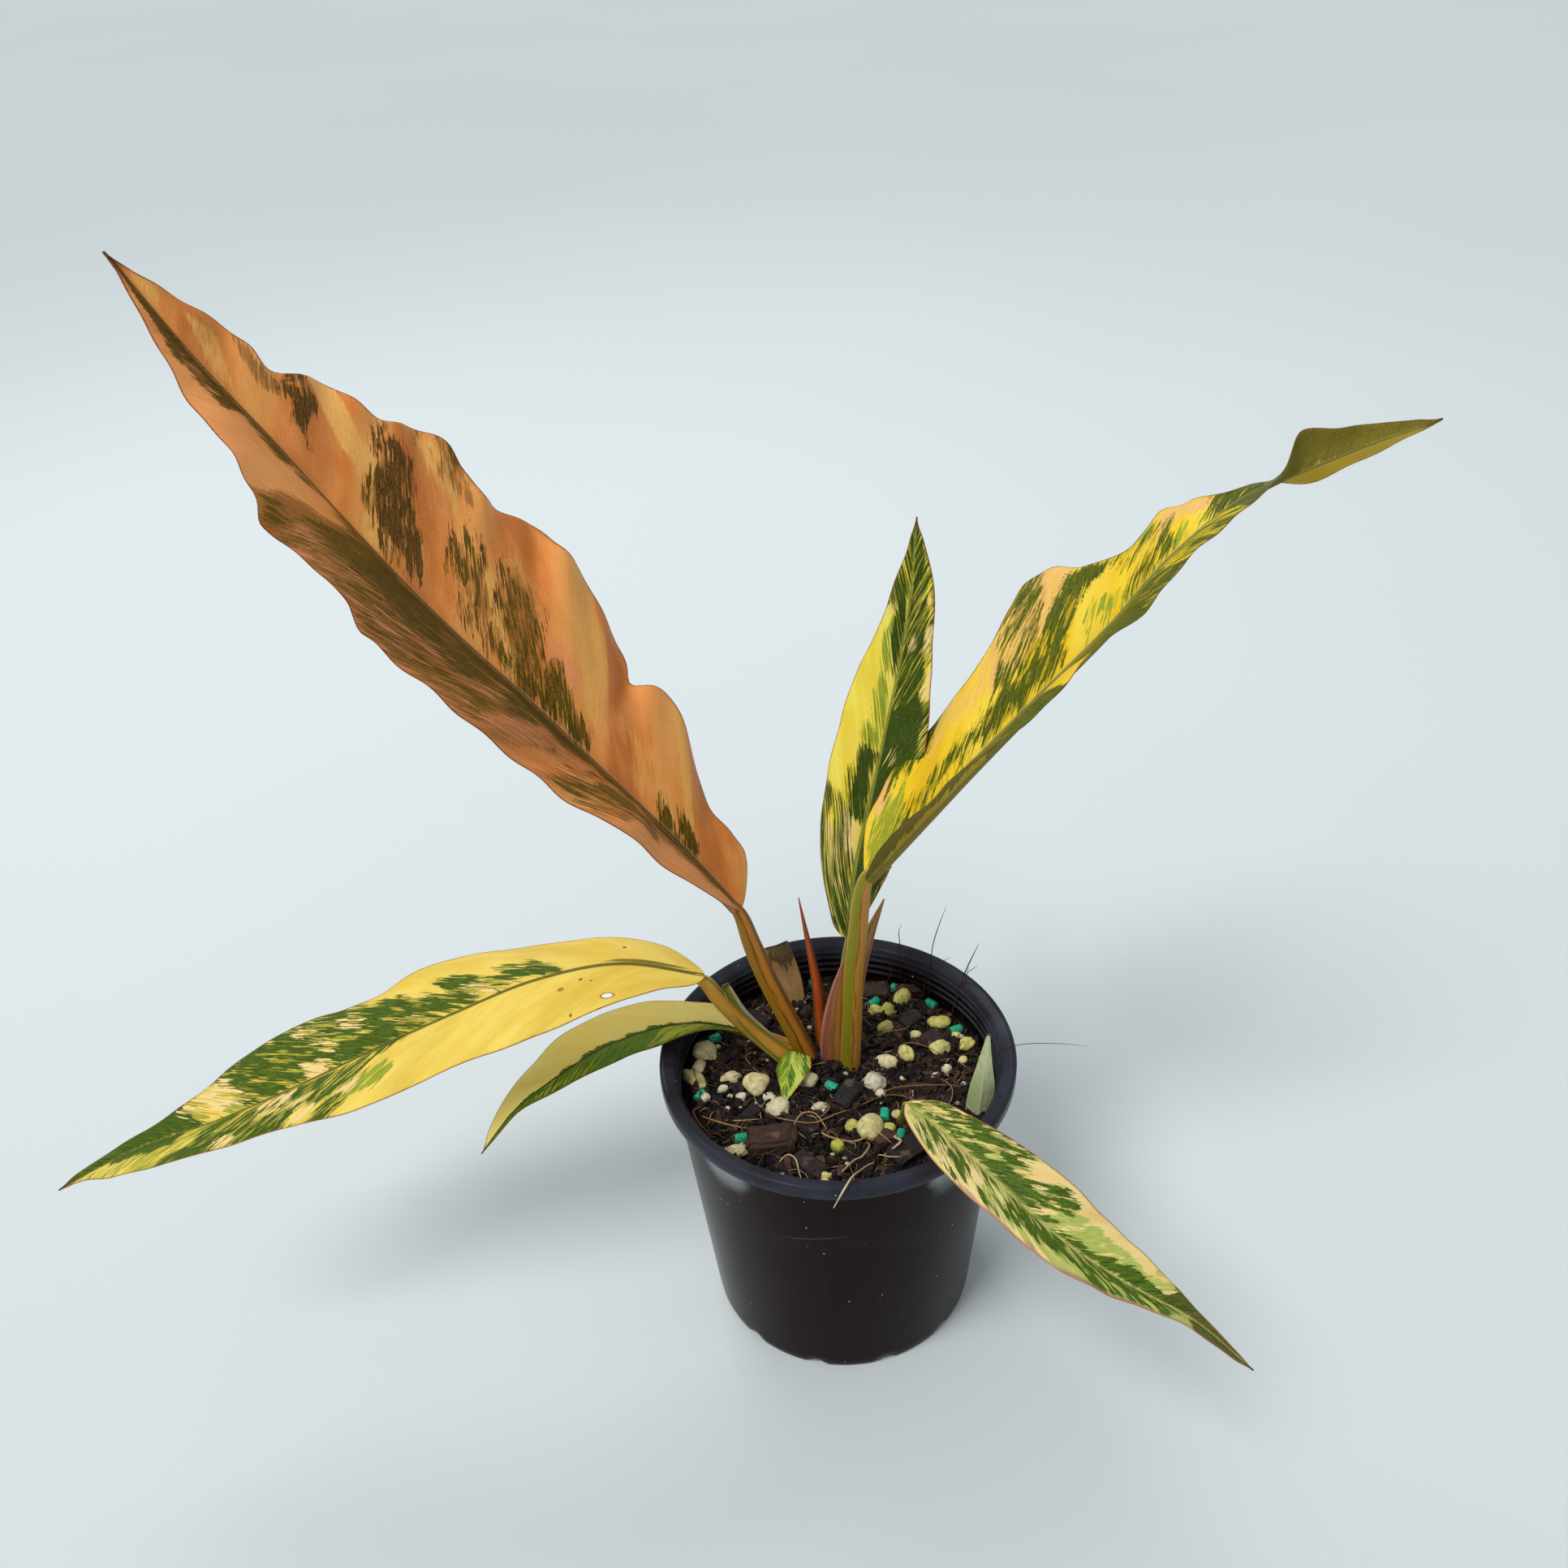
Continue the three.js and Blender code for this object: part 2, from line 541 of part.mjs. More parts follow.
// Turned body from a profile of radius and height
function turned(profile, sides = FACETS) {
  const outline = profile.map(([radius, height]) => new THREE.Vector2(radius, height));
  return new THREE.LatheGeometry(outline, sides).rotateX(Math.PI / 2);
}

// Radius of the pot wall's outside and inside at a height
function wallRadius(height) {
  const share = height / (POT_HEIGHT - RIM_BAND - RIM_FILLET);
  return BASE_RADIUS + (WALL_TOP_RADIUS - BASE_RADIUS) * share;
}

function innerRadius(height) {
  return wallRadius(height) - WALL;
}

function makePot() {
  const bandBottom = POT_HEIGHT - RIM_BAND;
  const outside = [
    [0, 0],
    [BASE_RADIUS - BEVEL, 0],
    [wallRadius(BEVEL), BEVEL],
    [wallRadius(bandBottom - RIM_FILLET), bandBottom - RIM_FILLET],
    [RIM_RADIUS - BEVEL, bandBottom],
    [RIM_RADIUS, bandBottom + BEVEL],
    [RIM_RADIUS, POT_HEIGHT - BEVEL],
    [RIM_RADIUS - BEVEL, POT_HEIGHT],
    [RIM_RADIUS - RIM_CREST, POT_HEIGHT],
    [RIM_INNER_RADIUS, POT_HEIGHT - RIM_DROP],
  ];
  const ridges = WALL_RIDGES.flatMap((height) => [
    [innerRadius(height + WALL_RIDGE_HALF), height + WALL_RIDGE_HALF],
    [innerRadius(height) - WALL_RIDGE_DEPTH, height],
    [innerRadius(height - WALL_RIDGE_HALF), height - WALL_RIDGE_HALF],
  ]);
  const bottom = [
    [innerRadius(FLOOR + BEVEL), FLOOR + BEVEL],
    [innerRadius(FLOOR) - BEVEL, FLOOR],
    [0, FLOOR],
  ];
  let pot = toSolid(turned([...outside, ...ridges, ...bottom]));
  for (let index = 0; index < DRAIN_COUNT; index++) {
    const angle = (index + 0.5) / DRAIN_COUNT * 2 * Math.PI;
    const notch = new THREE.BoxGeometry(2 * DRAIN_DEPTH, DRAIN_WIDTH, 2 * DRAIN_HEIGHT);
    pot = pot.subtract(toSolid(notch.translate(BASE_RADIUS, 0, 0).rotateZ(angle)));
  }
  return pot;
}

function soilHeight(x, y) {
  const radius = Math.hypot(x, y) / innerRadius(SOIL_LEVEL);
  let lumps = 0;
  for (const [alongX, alongY, phase, share] of SOIL_WAVES) {
    lumps += share * Math.sin(x * alongX + y * alongY + phase);
  }
  return SOIL_LEVEL + SOIL_MOUND * (1 - radius * radius) + SOIL_LUMP * lumps * (1 - radius / 2);
}

function makeSoil() {
  const bottom = FLOOR + CLEARANCE;
  const edge = innerRadius(SOIL_LEVEL) - 2 * CLEARANCE;
  const foot = [
    [0, bottom],
    [innerRadius(bottom) - BEVEL - 2 * CLEARANCE, bottom],
    [innerRadius(bottom + BEVEL) - 2 * CLEARANCE, bottom + BEVEL],
  ];
  const rings = [...SOIL_RINGS, edge].reverse();
  const geometry = turned([...foot, ...rings.map((radius) => [radius, SOIL_LEVEL])], SOIL_FACETS);
  const position = geometry.attributes.position;
  for (let index = 0; index < position.count; index++) {
    if (position.getZ(index) < SOIL_LEVEL) continue;
    position.setZ(index, soilHeight(position.getX(index), position.getY(index)));
  }
  return toSolid(geometry);
}

// The room inside the wall, which everything that is joined to the soil stays in
function makeRoom() {
  const ridgeFoot = WALL_RIDGES[WALL_RIDGES.length - 1] - 2 * WALL_RIDGE_HALF;
  const radius = innerRadius(ridgeFoot) - WALL_RIDGE_DEPTH - CLEARANCE;
  const profile = [[0, 0], [innerRadius(0) - CLEARANCE, 0], [radius, ridgeFoot],
    [radius, POT_HEIGHT], [0, POT_HEIGHT]];
  return toSolid(turned(profile));
}

// A stone: a rough rounded body, uneven by a seeded draw
function makeStone([x, y, long, wide, high, turn], number) {
  const draw = seededRandom(number + STONE_SEED);
  const detail = long > FINE_STONE ? 1 : 0;
  const bare = new THREE.IcosahedronGeometry(0.5, detail);
  bare.deleteAttribute('normal');
  bare.deleteAttribute('uv');
  const stone = mergeVertices(bare, WELD);
  const position = stone.attributes.position;
  for (let index = 0; index < position.count; index++) {
    const swell = 1 + STONE_UNEVEN * (draw() - 0.5);
    position.setXYZ(index, position.getX(index) * swell, position.getY(index) * swell,
      position.getZ(index) * swell);
  }
  stone.scale(long, wide, high).rotateZ(THREE.MathUtils.degToRad(turn));
  return toSolid(stone.translate(x, y, soilHeight(x, y) + high * (0.5 - STONE_SINK)));
}

function makePellet([x, y, turn]) {
  const pellet = new THREE.CylinderGeometry(PELLET_RADIUS, PELLET_RADIUS, PELLET_LENGTH,
    PELLET_SIDES);
  pellet.rotateZ(THREE.MathUtils.degToRad(turn));
  return toSolid(pellet.translate(x, y, soilHeight(x, y) + PELLET_RADIUS * PELLET_RISE));
}

function makeBark([x, y, long, wide, high, turn], number) {
  const draw = seededRandom(number + BARK_SEED);
  const box = new THREE.BoxGeometry(long, wide, high);
  box.deleteAttribute('normal');
  box.deleteAttribute('uv');
  const bark = mergeVertices(box, WELD);
  const position = bark.attributes.position;
  for (let index = 0; index < position.count; index++) {
    const uneven = () => 1 - BARK_UNEVEN * draw();
    position.setXYZ(index, position.getX(index) * uneven(), position.getY(index) * uneven(),
      position.getZ(index) * uneven());
  }
  bark.rotateZ(THREE.MathUtils.degToRad(turn));
  return toSolid(bark.translate(x, y, soilHeight(x, y) + high * (0.5 - BARK_SINK)));
}

function makeCrown(grow = 0) {
  const bottom = CROWN_BOTTOM - grow;
  const top = CROWN_TOP + grow;
  const middle = (bottom + top) / 2;
  const profile = [[0, bottom], [CROWN_FOOT, bottom], [1, middle], [CROWN_SHOULDER, top], [0, top]];
  const crown = turned(profile, CROWN_SIDES);
  crown.scale(CROWN_RADII[0] + grow, CROWN_RADII[1] + grow, 1);
  return toSolid(crown.translate(CROWN_CENTRE[0], CROWN_CENTRE[1], 0));
}

// Pieces in the order in which they give way: each is cut back from all that came before it
const pieces = [];

function addPiece(name, colour, solid, grown) {
  let fitted = solid;
  for (const earlier of pieces) fitted = fitted.subtract(earlier.grown);
  pieces.push({ name, colour, solid: largestPiece(fitted), grown });
}

for (const [name, leaf] of Object.entries(LEAVES)) {
  addPiece(name, leaf.colour, toSolid(bladeGeometry(leaf)), toSolid(bladeGeometry(leaf, CLEARANCE)));
}
for (const [name, stalk] of Object.entries(STALKS)) {
  const sides = name === 'root_over_rim' ? ROOT_SIDES : STALK_SIDES;
  let solid = toSolid(stalkGeometry(stalk, 0, sides));
  let grown = toSolid(stalkGeometry(stalk, CLEARANCE, sides));
  if (name === 'petiole_4') {
    solid = solid.add(toSolid(bladeGeometry(STALK_SHEATH)));
    grown = grown.add(toSolid(bladeGeometry(STALK_SHEATH, CLEARANCE)));
  }
  addPiece(name, stalk.colour, solid, grown);
}
for (const [name, leaf] of Object.entries(SMALL_BLADES)) {
  let solid = toSolid(bladeGeometry(leaf));
  let grown = toSolid(bladeGeometry(leaf, CLEARANCE));
  if (name === 'leaf_7_small') {
    solid = solid.add(toSolid(stalkGeometry(LEAF_7_STALK)));
    grown = grown.add(toSolid(stalkGeometry(LEAF_7_STALK, CLEARANCE)));
  }
  addPiece(name, leaf.colour, solid, grown);
}

addPiece('stem_crown', 0x8a7a3a, makeCrown(), makeCrown(CLEARANCE));

const litter = [...STONES.map(makeStone), ...PELLETS.map(makePellet), ...BARKS.map(makeBark)]
  .reduce((all, piece) => all.add(piece));
const soil = makeSoil().add(litter.intersect(makeRoom()));
addPiece('soil', 0x2a211c, soil, soil);

const group = new THREE.Group();

function addMesh(name, colour, roughness, solid) {
  const material = new THREE.MeshStandardMaterial({ color: colour, roughness, metalness: 0 });
  const mesh = new THREE.Mesh(toGeometry(solid), material);
  mesh.name = name;
  group.add(mesh);
}

addMesh('pot', 0x1b1a1d, 0.35, makePot());
for (const { name, colour, solid } of pieces) {
  addMesh(name, colour, name === 'soil' ? 0.95 : 0.45, solid);
}

export default group;
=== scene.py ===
# Potted caramel marble philodendron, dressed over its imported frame.
# Shapes are listed in millimetres, as in the part's own source, and MM turns them into metres.

import math

import bmesh
import bpy
import numpy as np
from mathutils import Matrix, Vector


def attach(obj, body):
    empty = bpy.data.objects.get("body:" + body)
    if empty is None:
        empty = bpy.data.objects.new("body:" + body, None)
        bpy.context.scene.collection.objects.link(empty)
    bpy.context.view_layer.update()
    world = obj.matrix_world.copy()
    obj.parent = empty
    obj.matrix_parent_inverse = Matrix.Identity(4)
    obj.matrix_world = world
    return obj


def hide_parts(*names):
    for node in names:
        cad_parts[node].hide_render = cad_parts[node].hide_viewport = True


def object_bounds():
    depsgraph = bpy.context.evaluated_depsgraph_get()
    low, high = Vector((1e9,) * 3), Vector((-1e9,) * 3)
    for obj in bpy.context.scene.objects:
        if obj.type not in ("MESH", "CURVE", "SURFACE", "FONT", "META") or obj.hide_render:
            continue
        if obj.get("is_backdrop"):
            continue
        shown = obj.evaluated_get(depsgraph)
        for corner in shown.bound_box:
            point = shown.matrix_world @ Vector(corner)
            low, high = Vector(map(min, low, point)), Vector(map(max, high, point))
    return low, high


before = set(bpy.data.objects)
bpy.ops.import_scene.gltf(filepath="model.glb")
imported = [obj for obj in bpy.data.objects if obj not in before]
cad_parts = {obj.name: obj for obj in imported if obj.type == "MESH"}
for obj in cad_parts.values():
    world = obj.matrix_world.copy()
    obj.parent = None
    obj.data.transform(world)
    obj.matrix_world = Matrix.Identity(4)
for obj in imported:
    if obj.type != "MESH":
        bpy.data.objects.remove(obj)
cad_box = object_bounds()

MM = 0.001
CIRCLE = 2 * math.pi


# Colours and materials

def linear(red, green, blue):
    """An sRGB colour, 0 to 255 a channel, as the linear colour that a shader takes."""
    shares = [channel / 255 for channel in (red, green, blue)]
    curve = [s / 12.92 if s <= 0.04045 else ((s + 0.055) / 1.055) ** 2.4 for s in shares]
    return (*curve, 1.0)


class Wire:
    """What a shader's node gives out. It is reckoned with like a number."""

    def __init__(self, shader, socket):
        self.shader = shader
        self.socket = socket

    def __add__(self, other):
        return self.shader.math("ADD", self, other)

    def __sub__(self, number):
        return self + -number

    def __mul__(self, other):
        return self.shader.math("MULTIPLY", self, other)

    def __abs__(self):
        return self.shader.math("ABSOLUTE", self)

    def step(self, low, high):
        """0 below low, 1 above high, and a smooth ramp between them. Low may be the larger."""
        inputs = {0: self, 1: low, 2: high, 3: 0.0, 4: 1.0}
        if low > high:
            inputs = {0: self, 1: high, 2: low, 3: 1.0, 4: 0.0}
        return self.shader.node("ShaderNodeMapRange", inputs, interpolation_type="SMOOTHSTEP")

    def tinted(self, share, ink):
        """This colour with a share of another one over it."""
        return self.shader.mix(share, self, ink)


class Shader:
    """A material whose nodes are added by short calls."""

    def __init__(self, name):
        self.material = bpy.data.materials.new(name)
        self.material.use_nodes = True
        self.nodes = self.material.node_tree.nodes
        self.links = self.material.node_tree.links
        self.surface = self.nodes["Principled BSDF"]

    def put(self, socket, value):
        """A plain value goes on the socket itself, and a wire is linked to it."""
        if isinstance(value, Wire):
            self.links.new(value.socket, socket)
        else:
            socket.default_value = value

    def node(self, kind, inputs, output=0, **settings):
        node = self.nodes.new(kind)
        for key, value in settings.items():
            setattr(node, key, value)
        for key, value in inputs.items():
            self.put(node.inputs[key], value)
        return Wire(self, node.outputs[output])

    def attribute(self, name, output="Fac"):
        return self.node("ShaderNodeAttribute", {}, output, attribute_name=name)

    def place(self):
        return self.node("ShaderNodeTexCoord", {}, "Object")

    def split(self, vector):
        node = self.node("ShaderNodeSeparateXYZ", {0: vector}).socket.node
        return [Wire(self, socket) for socket in node.outputs]

    def join(self, x, y, z=0.0):
        return self.node("ShaderNodeCombineXYZ", {0: x, 1: y, 2: z})

    def math(self, operation, *values):
        return self.node("ShaderNodeMath", dict(enumerate(values)), operation=operation)

    def distance(self, x, y):
        return self.math("SQRT", x * x + y * y)

    def mix(self, share, a, b):
        """Colour a with a share of b over it. A plain colour is in sRGB, 0 to 255 a channel."""
        a, b = [ink if isinstance(ink, Wire) else linear(*ink) for ink in (a, b)]
        return self.node("ShaderNodeMix", {0: share, 6: a, 7: b}, 2, data_type="RGBA")

    def noise(self, vector, scale, detail=2.0, roughness=0.5):
        inputs = {"Vector": vector, "Scale": scale, "Detail": detail, "Roughness": roughness}
        return self.node("ShaderNodeTexNoise", inputs, "Fac")

    def cells(self, vector, scale):
        return self.node("ShaderNodeTexVoronoi", {"Vector": vector, "Scale": scale}, "Distance")

    def bump(self, height, distance, strength):
        inputs = {"Height": height, "Distance": distance, "Strength": strength}
        return self.node("ShaderNodeBump", inputs)

    def finish(self, **inputs):
        """Puts each value on the surface's input of that name, with _ for a space."""
        for key, value in inputs.items():
            self.put(self.surface.inputs[key.replace("_", " ")], value)
        return self.material


# Curves, frames and meshes

FRAME_STEP = 1e-3                # share of a path over which its direction is taken
LENGTH_STEPS = 100
RIPPLE_WAVES = 7
RIPPLE_SCALE = 3.2               # brings the sum of the waves to about -1 to 1


def smooth(knots, share):
    """Numbers or points between evenly spaced knots, on one smooth curve through all of them."""
    knots = np.asarray(knots, float)
    last = len(knots) - 1
    place = np.clip(share, 0, 1) * last
    index = np.minimum(np.floor(place).astype(int), last - 1)
    u = place - index
    first_gap = index == 0
    last_gap = index == last - 1
    if knots.ndim > 1:
        u, first_gap, last_gap = u[..., None], first_gap[..., None], last_gap[..., None]
    b = knots[index]
    c = knots[index + 1]
    a = np.where(first_gap, 2 * b - c, knots[np.maximum(index - 1, 0)])
    d = np.where(last_gap, 2 * c - b, knots[np.minimum(index + 2, last)])
    cubic = 3 * b - a - 3 * c + d
    return 0.5 * (2 * b + (c - a) * u + (2 * a - 5 * b + 4 * c - d) * u ** 2 + cubic * u ** 3)


def unit(vectors):
    return vectors / np.linalg.norm(vectors, axis=-1, keepdims=True)


def curve_frame(path, share, up=(0, 0, 1), roll=(0, 0)):
    """Centre, direction, normal and side at each share of a smooth path."""
    centre = smooth(path, share)
    ahead = smooth(path, np.minimum(share + FRAME_STEP, 1))
    along = unit(ahead - smooth(path, np.maximum(share - FRAME_STEP, 0)))
    up = np.asarray(up, float)
    normal = unit(up - along * (along @ up)[..., None])
    side = np.cross(along, normal)
    turn = np.radians(smooth(roll, share))[..., None]
    turned = normal * np.cos(turn) + side * np.sin(turn)
    return centre, along, turned, side * np.cos(turn) - normal * np.sin(turn)


def curve_length(path):
    points = smooth(path, np.linspace(0, 1, LENGTH_STEPS + 1))
    return float(np.linalg.norm(np.diff(points, axis=0), axis=1).sum())


def ramp(value, low, high):
    """0 below low, 1 above high, and a smooth ramp between them."""
    share = np.clip((value - low) / (high - low), 0, 1)
    return share * share * (3 - 2 * share)


def ripple(seed, *axes):
    """Soft random waves, about -1 to 1, over coordinates that are already scaled to the waves."""
    draw = np.random.default_rng(seed)
    total = np.zeros(np.broadcast(*axes).shape)
    for _ in range(RIPPLE_WAVES):
        pace = draw.normal(0, 1, len(axes))
        wave = sum(axis * speed for axis, speed in zip(axes, pace))
        total = total + np.sin(wave + draw.uniform(0, CIRCLE))
    return total / RIPPLE_SCALE


def around(count):
    """Angles of points spread evenly round a circle."""
    return np.arange(count) / count * CIRCLE


def new_mesh(name, points, faces, material, shade_smooth=True, attributes=None):
    """A mesh from points in millimetres, with named numbers or vectors for each point."""
    mesh = bpy.data.meshes.new(name)
    mesh.from_pydata((np.asarray(points).reshape(-1, 3) * MM).tolist(), [], faces)
    mesh.materials.append(material)
    mesh.shade_smooth() if shade_smooth else mesh.shade_flat()
    for key, values in (attributes or {}).items():
        values = np.asarray(values, float)
        kind, entry = ("FLOAT", "value") if values.ndim == 1 else ("FLOAT_VECTOR", "vector")
        mesh.attributes.new(key, kind, "POINT").data.foreach_set(entry, values.ravel())
    return mesh


def add_object(name, data):
    thing = bpy.data.objects.new(name, data)
    bpy.context.scene.collection.objects.link(thing)
    return thing


def add_piece(name, mesh, slot, *nodes):
    """Puts a mesh in the scene as a piece of the plant that stands for the named nodes."""
    piece = add_object(name, mesh)
    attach(piece, "root")
    if nodes:
        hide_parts(*nodes)


def grid_faces(rows, columns, start=0, wrap=False, flip=False):
    """Quads over a grid of points, closed across its columns where it wraps."""
    faces = []
    last = columns if wrap else columns - 1
    for row in range(rows - 1):
        for column in range(last):
            a = start + row * columns + column
            b = start + row * columns + (column + 1) % columns
            quad = (a, b, b + columns, a + columns)
            faces.append(quad[::-1] if flip else quad)
    return faces


def ring_faces(rows, columns):
    """Quads over a stack of rings, with one face over the first ring and one over the last."""
    faces = grid_faces(rows, columns, wrap=True)
    last = (rows - 1) * columns
    faces.append(tuple(range(columns))[::-1])
    faces.append(tuple(range(last, last + columns)))
    return faces


class Heap:
    """Many small bodies gathered into one piece."""

    def __init__(self):
        self.points = []
        self.faces = []
        self.tints = []
        self.count = 0

    def add(self, points, faces, tint):
        self.points.append(points)
        self.faces.extend(tuple(index + self.count for index in face) for face in faces)
        self.tints.append(np.full(len(points), float(tint)))
        self.count += len(points)

    def show(self, name, material, slot, *nodes, shade_smooth=True):
        points = inside_wall(np.concatenate(self.points))
        tints = {"tint": np.concatenate(self.tints)}
        mesh = new_mesh(name, points, self.faces, material, shade_smooth, tints)
        add_piece(name, mesh, slot, *nodes)


# Camera, light and floor, in metres

CAMERA_PLACE = (-0.0145, -0.3915, 0.4957)
CAMERA_PITCH = 33.77             # degrees down from level
CAMERA_ROLL = -2.87
CAMERA_LENS = 33.73
SENSOR = 36

WORLD_COLOUR = (0.93, 0.97, 1.0)
WORLD_STRENGTH = 0.44
SUN_STRENGTH = 1.75
SUN_ANGLE = 24                   # degrees across, which softens the shadows
SUN_COLOUR = (1.0, 0.985, 0.96)
SUN_HEADING = (0.5, 0.45, -1.0)
GLINT_PLACE = (-0.5, 0.9, 1.3)   # of a small lamp that puts a sheen on the leaves
GLINT_TARGET = (-0.03, 0.0, 0.2)
GLINT_SIZE = (0.7, 0.5)
GLINT_POWER = 6
FLOOR_TONES = ((209, 218, 221), (219, 227, 230))
FLOOR_CLOUDS = 1.1
FLOOR_HALF = 9.0


def add_camera():
    data = bpy.data.cameras.new("camera")
    data.lens = CAMERA_LENS
    data.sensor_width = SENSOR
    camera = add_object("camera", data)
    tilt = Matrix.Rotation(math.radians(90 - CAMERA_PITCH), 4, "X")
    roll = Matrix.Rotation(math.radians(CAMERA_ROLL), 4, "Z")
    camera.matrix_world = Matrix.Translation(CAMERA_PLACE) @ tilt @ roll
    bpy.context.scene.camera = camera


def aim(lamp, heading):
    lamp.rotation_euler = heading.to_track_quat("-Z", "Y").to_euler()


def add_lights():
    scene = bpy.context.scene
    scene.view_settings.view_transform = "Standard"
    world = bpy.data.worlds.new("studio")
    scene.world = world
    world.use_nodes = True
    background = world.node_tree.nodes["Background"]
    background.inputs["Color"].default_value = (*WORLD_COLOUR, 1)
    background.inputs["Strength"].default_value = WORLD_STRENGTH
    sun = bpy.data.lights.new("key", "SUN")
    sun.energy = SUN_STRENGTH
    sun.angle = math.radians(SUN_ANGLE)
    sun.color = SUN_COLOUR
    aim(add_object("key", sun), Vector(SUN_HEADING))
    glint = bpy.data.lights.new("glint", "AREA")
    glint.shape = "RECTANGLE"
    glint.size, glint.size_y = GLINT_SIZE
    glint.energy = GLINT_POWER
    lamp = add_object("glint", glint)
    lamp.location = GLINT_PLACE
    aim(lamp, Vector(GLINT_TARGET) - Vector(GLINT_PLACE))


def add_floor():
    shader = Shader("floor_pale")
    tone = shader.mix(shader.noise(shader.place(), FLOOR_CLOUDS), *FLOOR_TONES)
    shader.finish(Base_Color=tone, Roughness=0.9)
    mesh = bpy.data.meshes.new("floor")
    corners = [(x * FLOOR_HALF, y * FLOOR_HALF, 0) for x, y in ((-1, -1), (1, -1), (1, 1), (-1, 1))]
    mesh.from_pydata(corners, [], [(0, 1, 2, 3)])
    mesh.materials.append(shader.material)
    add_object("floor", mesh)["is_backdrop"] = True


# Leaves

WAVE_LEAN = 0.8                  # how far the waves run tipward for each step outward
SECOND_WAVE = (0.4, 0.43)        # height and length of a finer wave, as shares of the main one
FULL_CREST = 1.5                 # wave height from which its crests take their full painted highlight, and its valleys their full painted shade
BASE_ROUNDING = 0.05             # share of the length in which the base rounds out
TIP_HALF_WIDTH = 0.16
TIP_LENGTH = 7                   # over which the margins close to the point
TIP_OVERRUN = 2                  # how far past the point they would meet
GROOVE_WIDTH = 1.1
QUILT_LENGTH = 1.35              # of the fine pleats between the side veins
QUILT_DRIFT = (1.8, 7.1)         # how far and how slowly the pleats' spacing changes
QUILT_START = (0.5, 6)           # from the midrib
BLADE_THICKNESS = 0.55
EDGE_THICKNESS = 0.35            # share of it that is left at the margin
EDGE_TAPER = 1.5                 # width over which it is lost
KEEL_WIDTH = 2.0
KEEL_TAPER = 0.85                # share of the keel that is gone at the tip
BASE_ROWS = 8                    # crowded into the first share of a rounded blade
BASE_SHARE = 0.04
INNER_COLUMNS = (0, 0.025, 0.055, 0.095)
OUTER_COLUMNS = 0.14             # share of the half width from which they are even

PATCH_SOFTNESS = 2.2             # millimetres along the midrib
PATCH_FRAY = 0.13                # share of the half width along the side veins
COARSE_FRAY = (1.7, 4.5, 5)      # size, and grain along and out, in millimetres
FINE_FRAY = (0.8, 1.6, 4)
SIDE_FRAY = (0.05, 3.5, 6)
MARGIN = 0.99                    # share of the half width from which a patch runs off the edge
OFF_THE_EDGE = 9
MIDRIB_SIDE = (-0.01, 0.02)      # over which a patch starts at the midrib

BROAD_GRAIN = (17, 19)           # along and out, in millimetres
LOOSE_GRAIN = (1.5, 6)
FINE_GRAIN = (0.42, 3.6)
HALO_EDGE = (0.43, 0.5)
RIB_TIP = 0.25                   # half width of the drawn midrib at the tip
LEAF_BUMP = (0.00032, 0.7)
LEAF_FLESH = dict(Subsurface_Weight=0.1, Subsurface_Radius=(0.0012, 0.0008, 0.0003),
                  Subsurface_Scale=1.0)


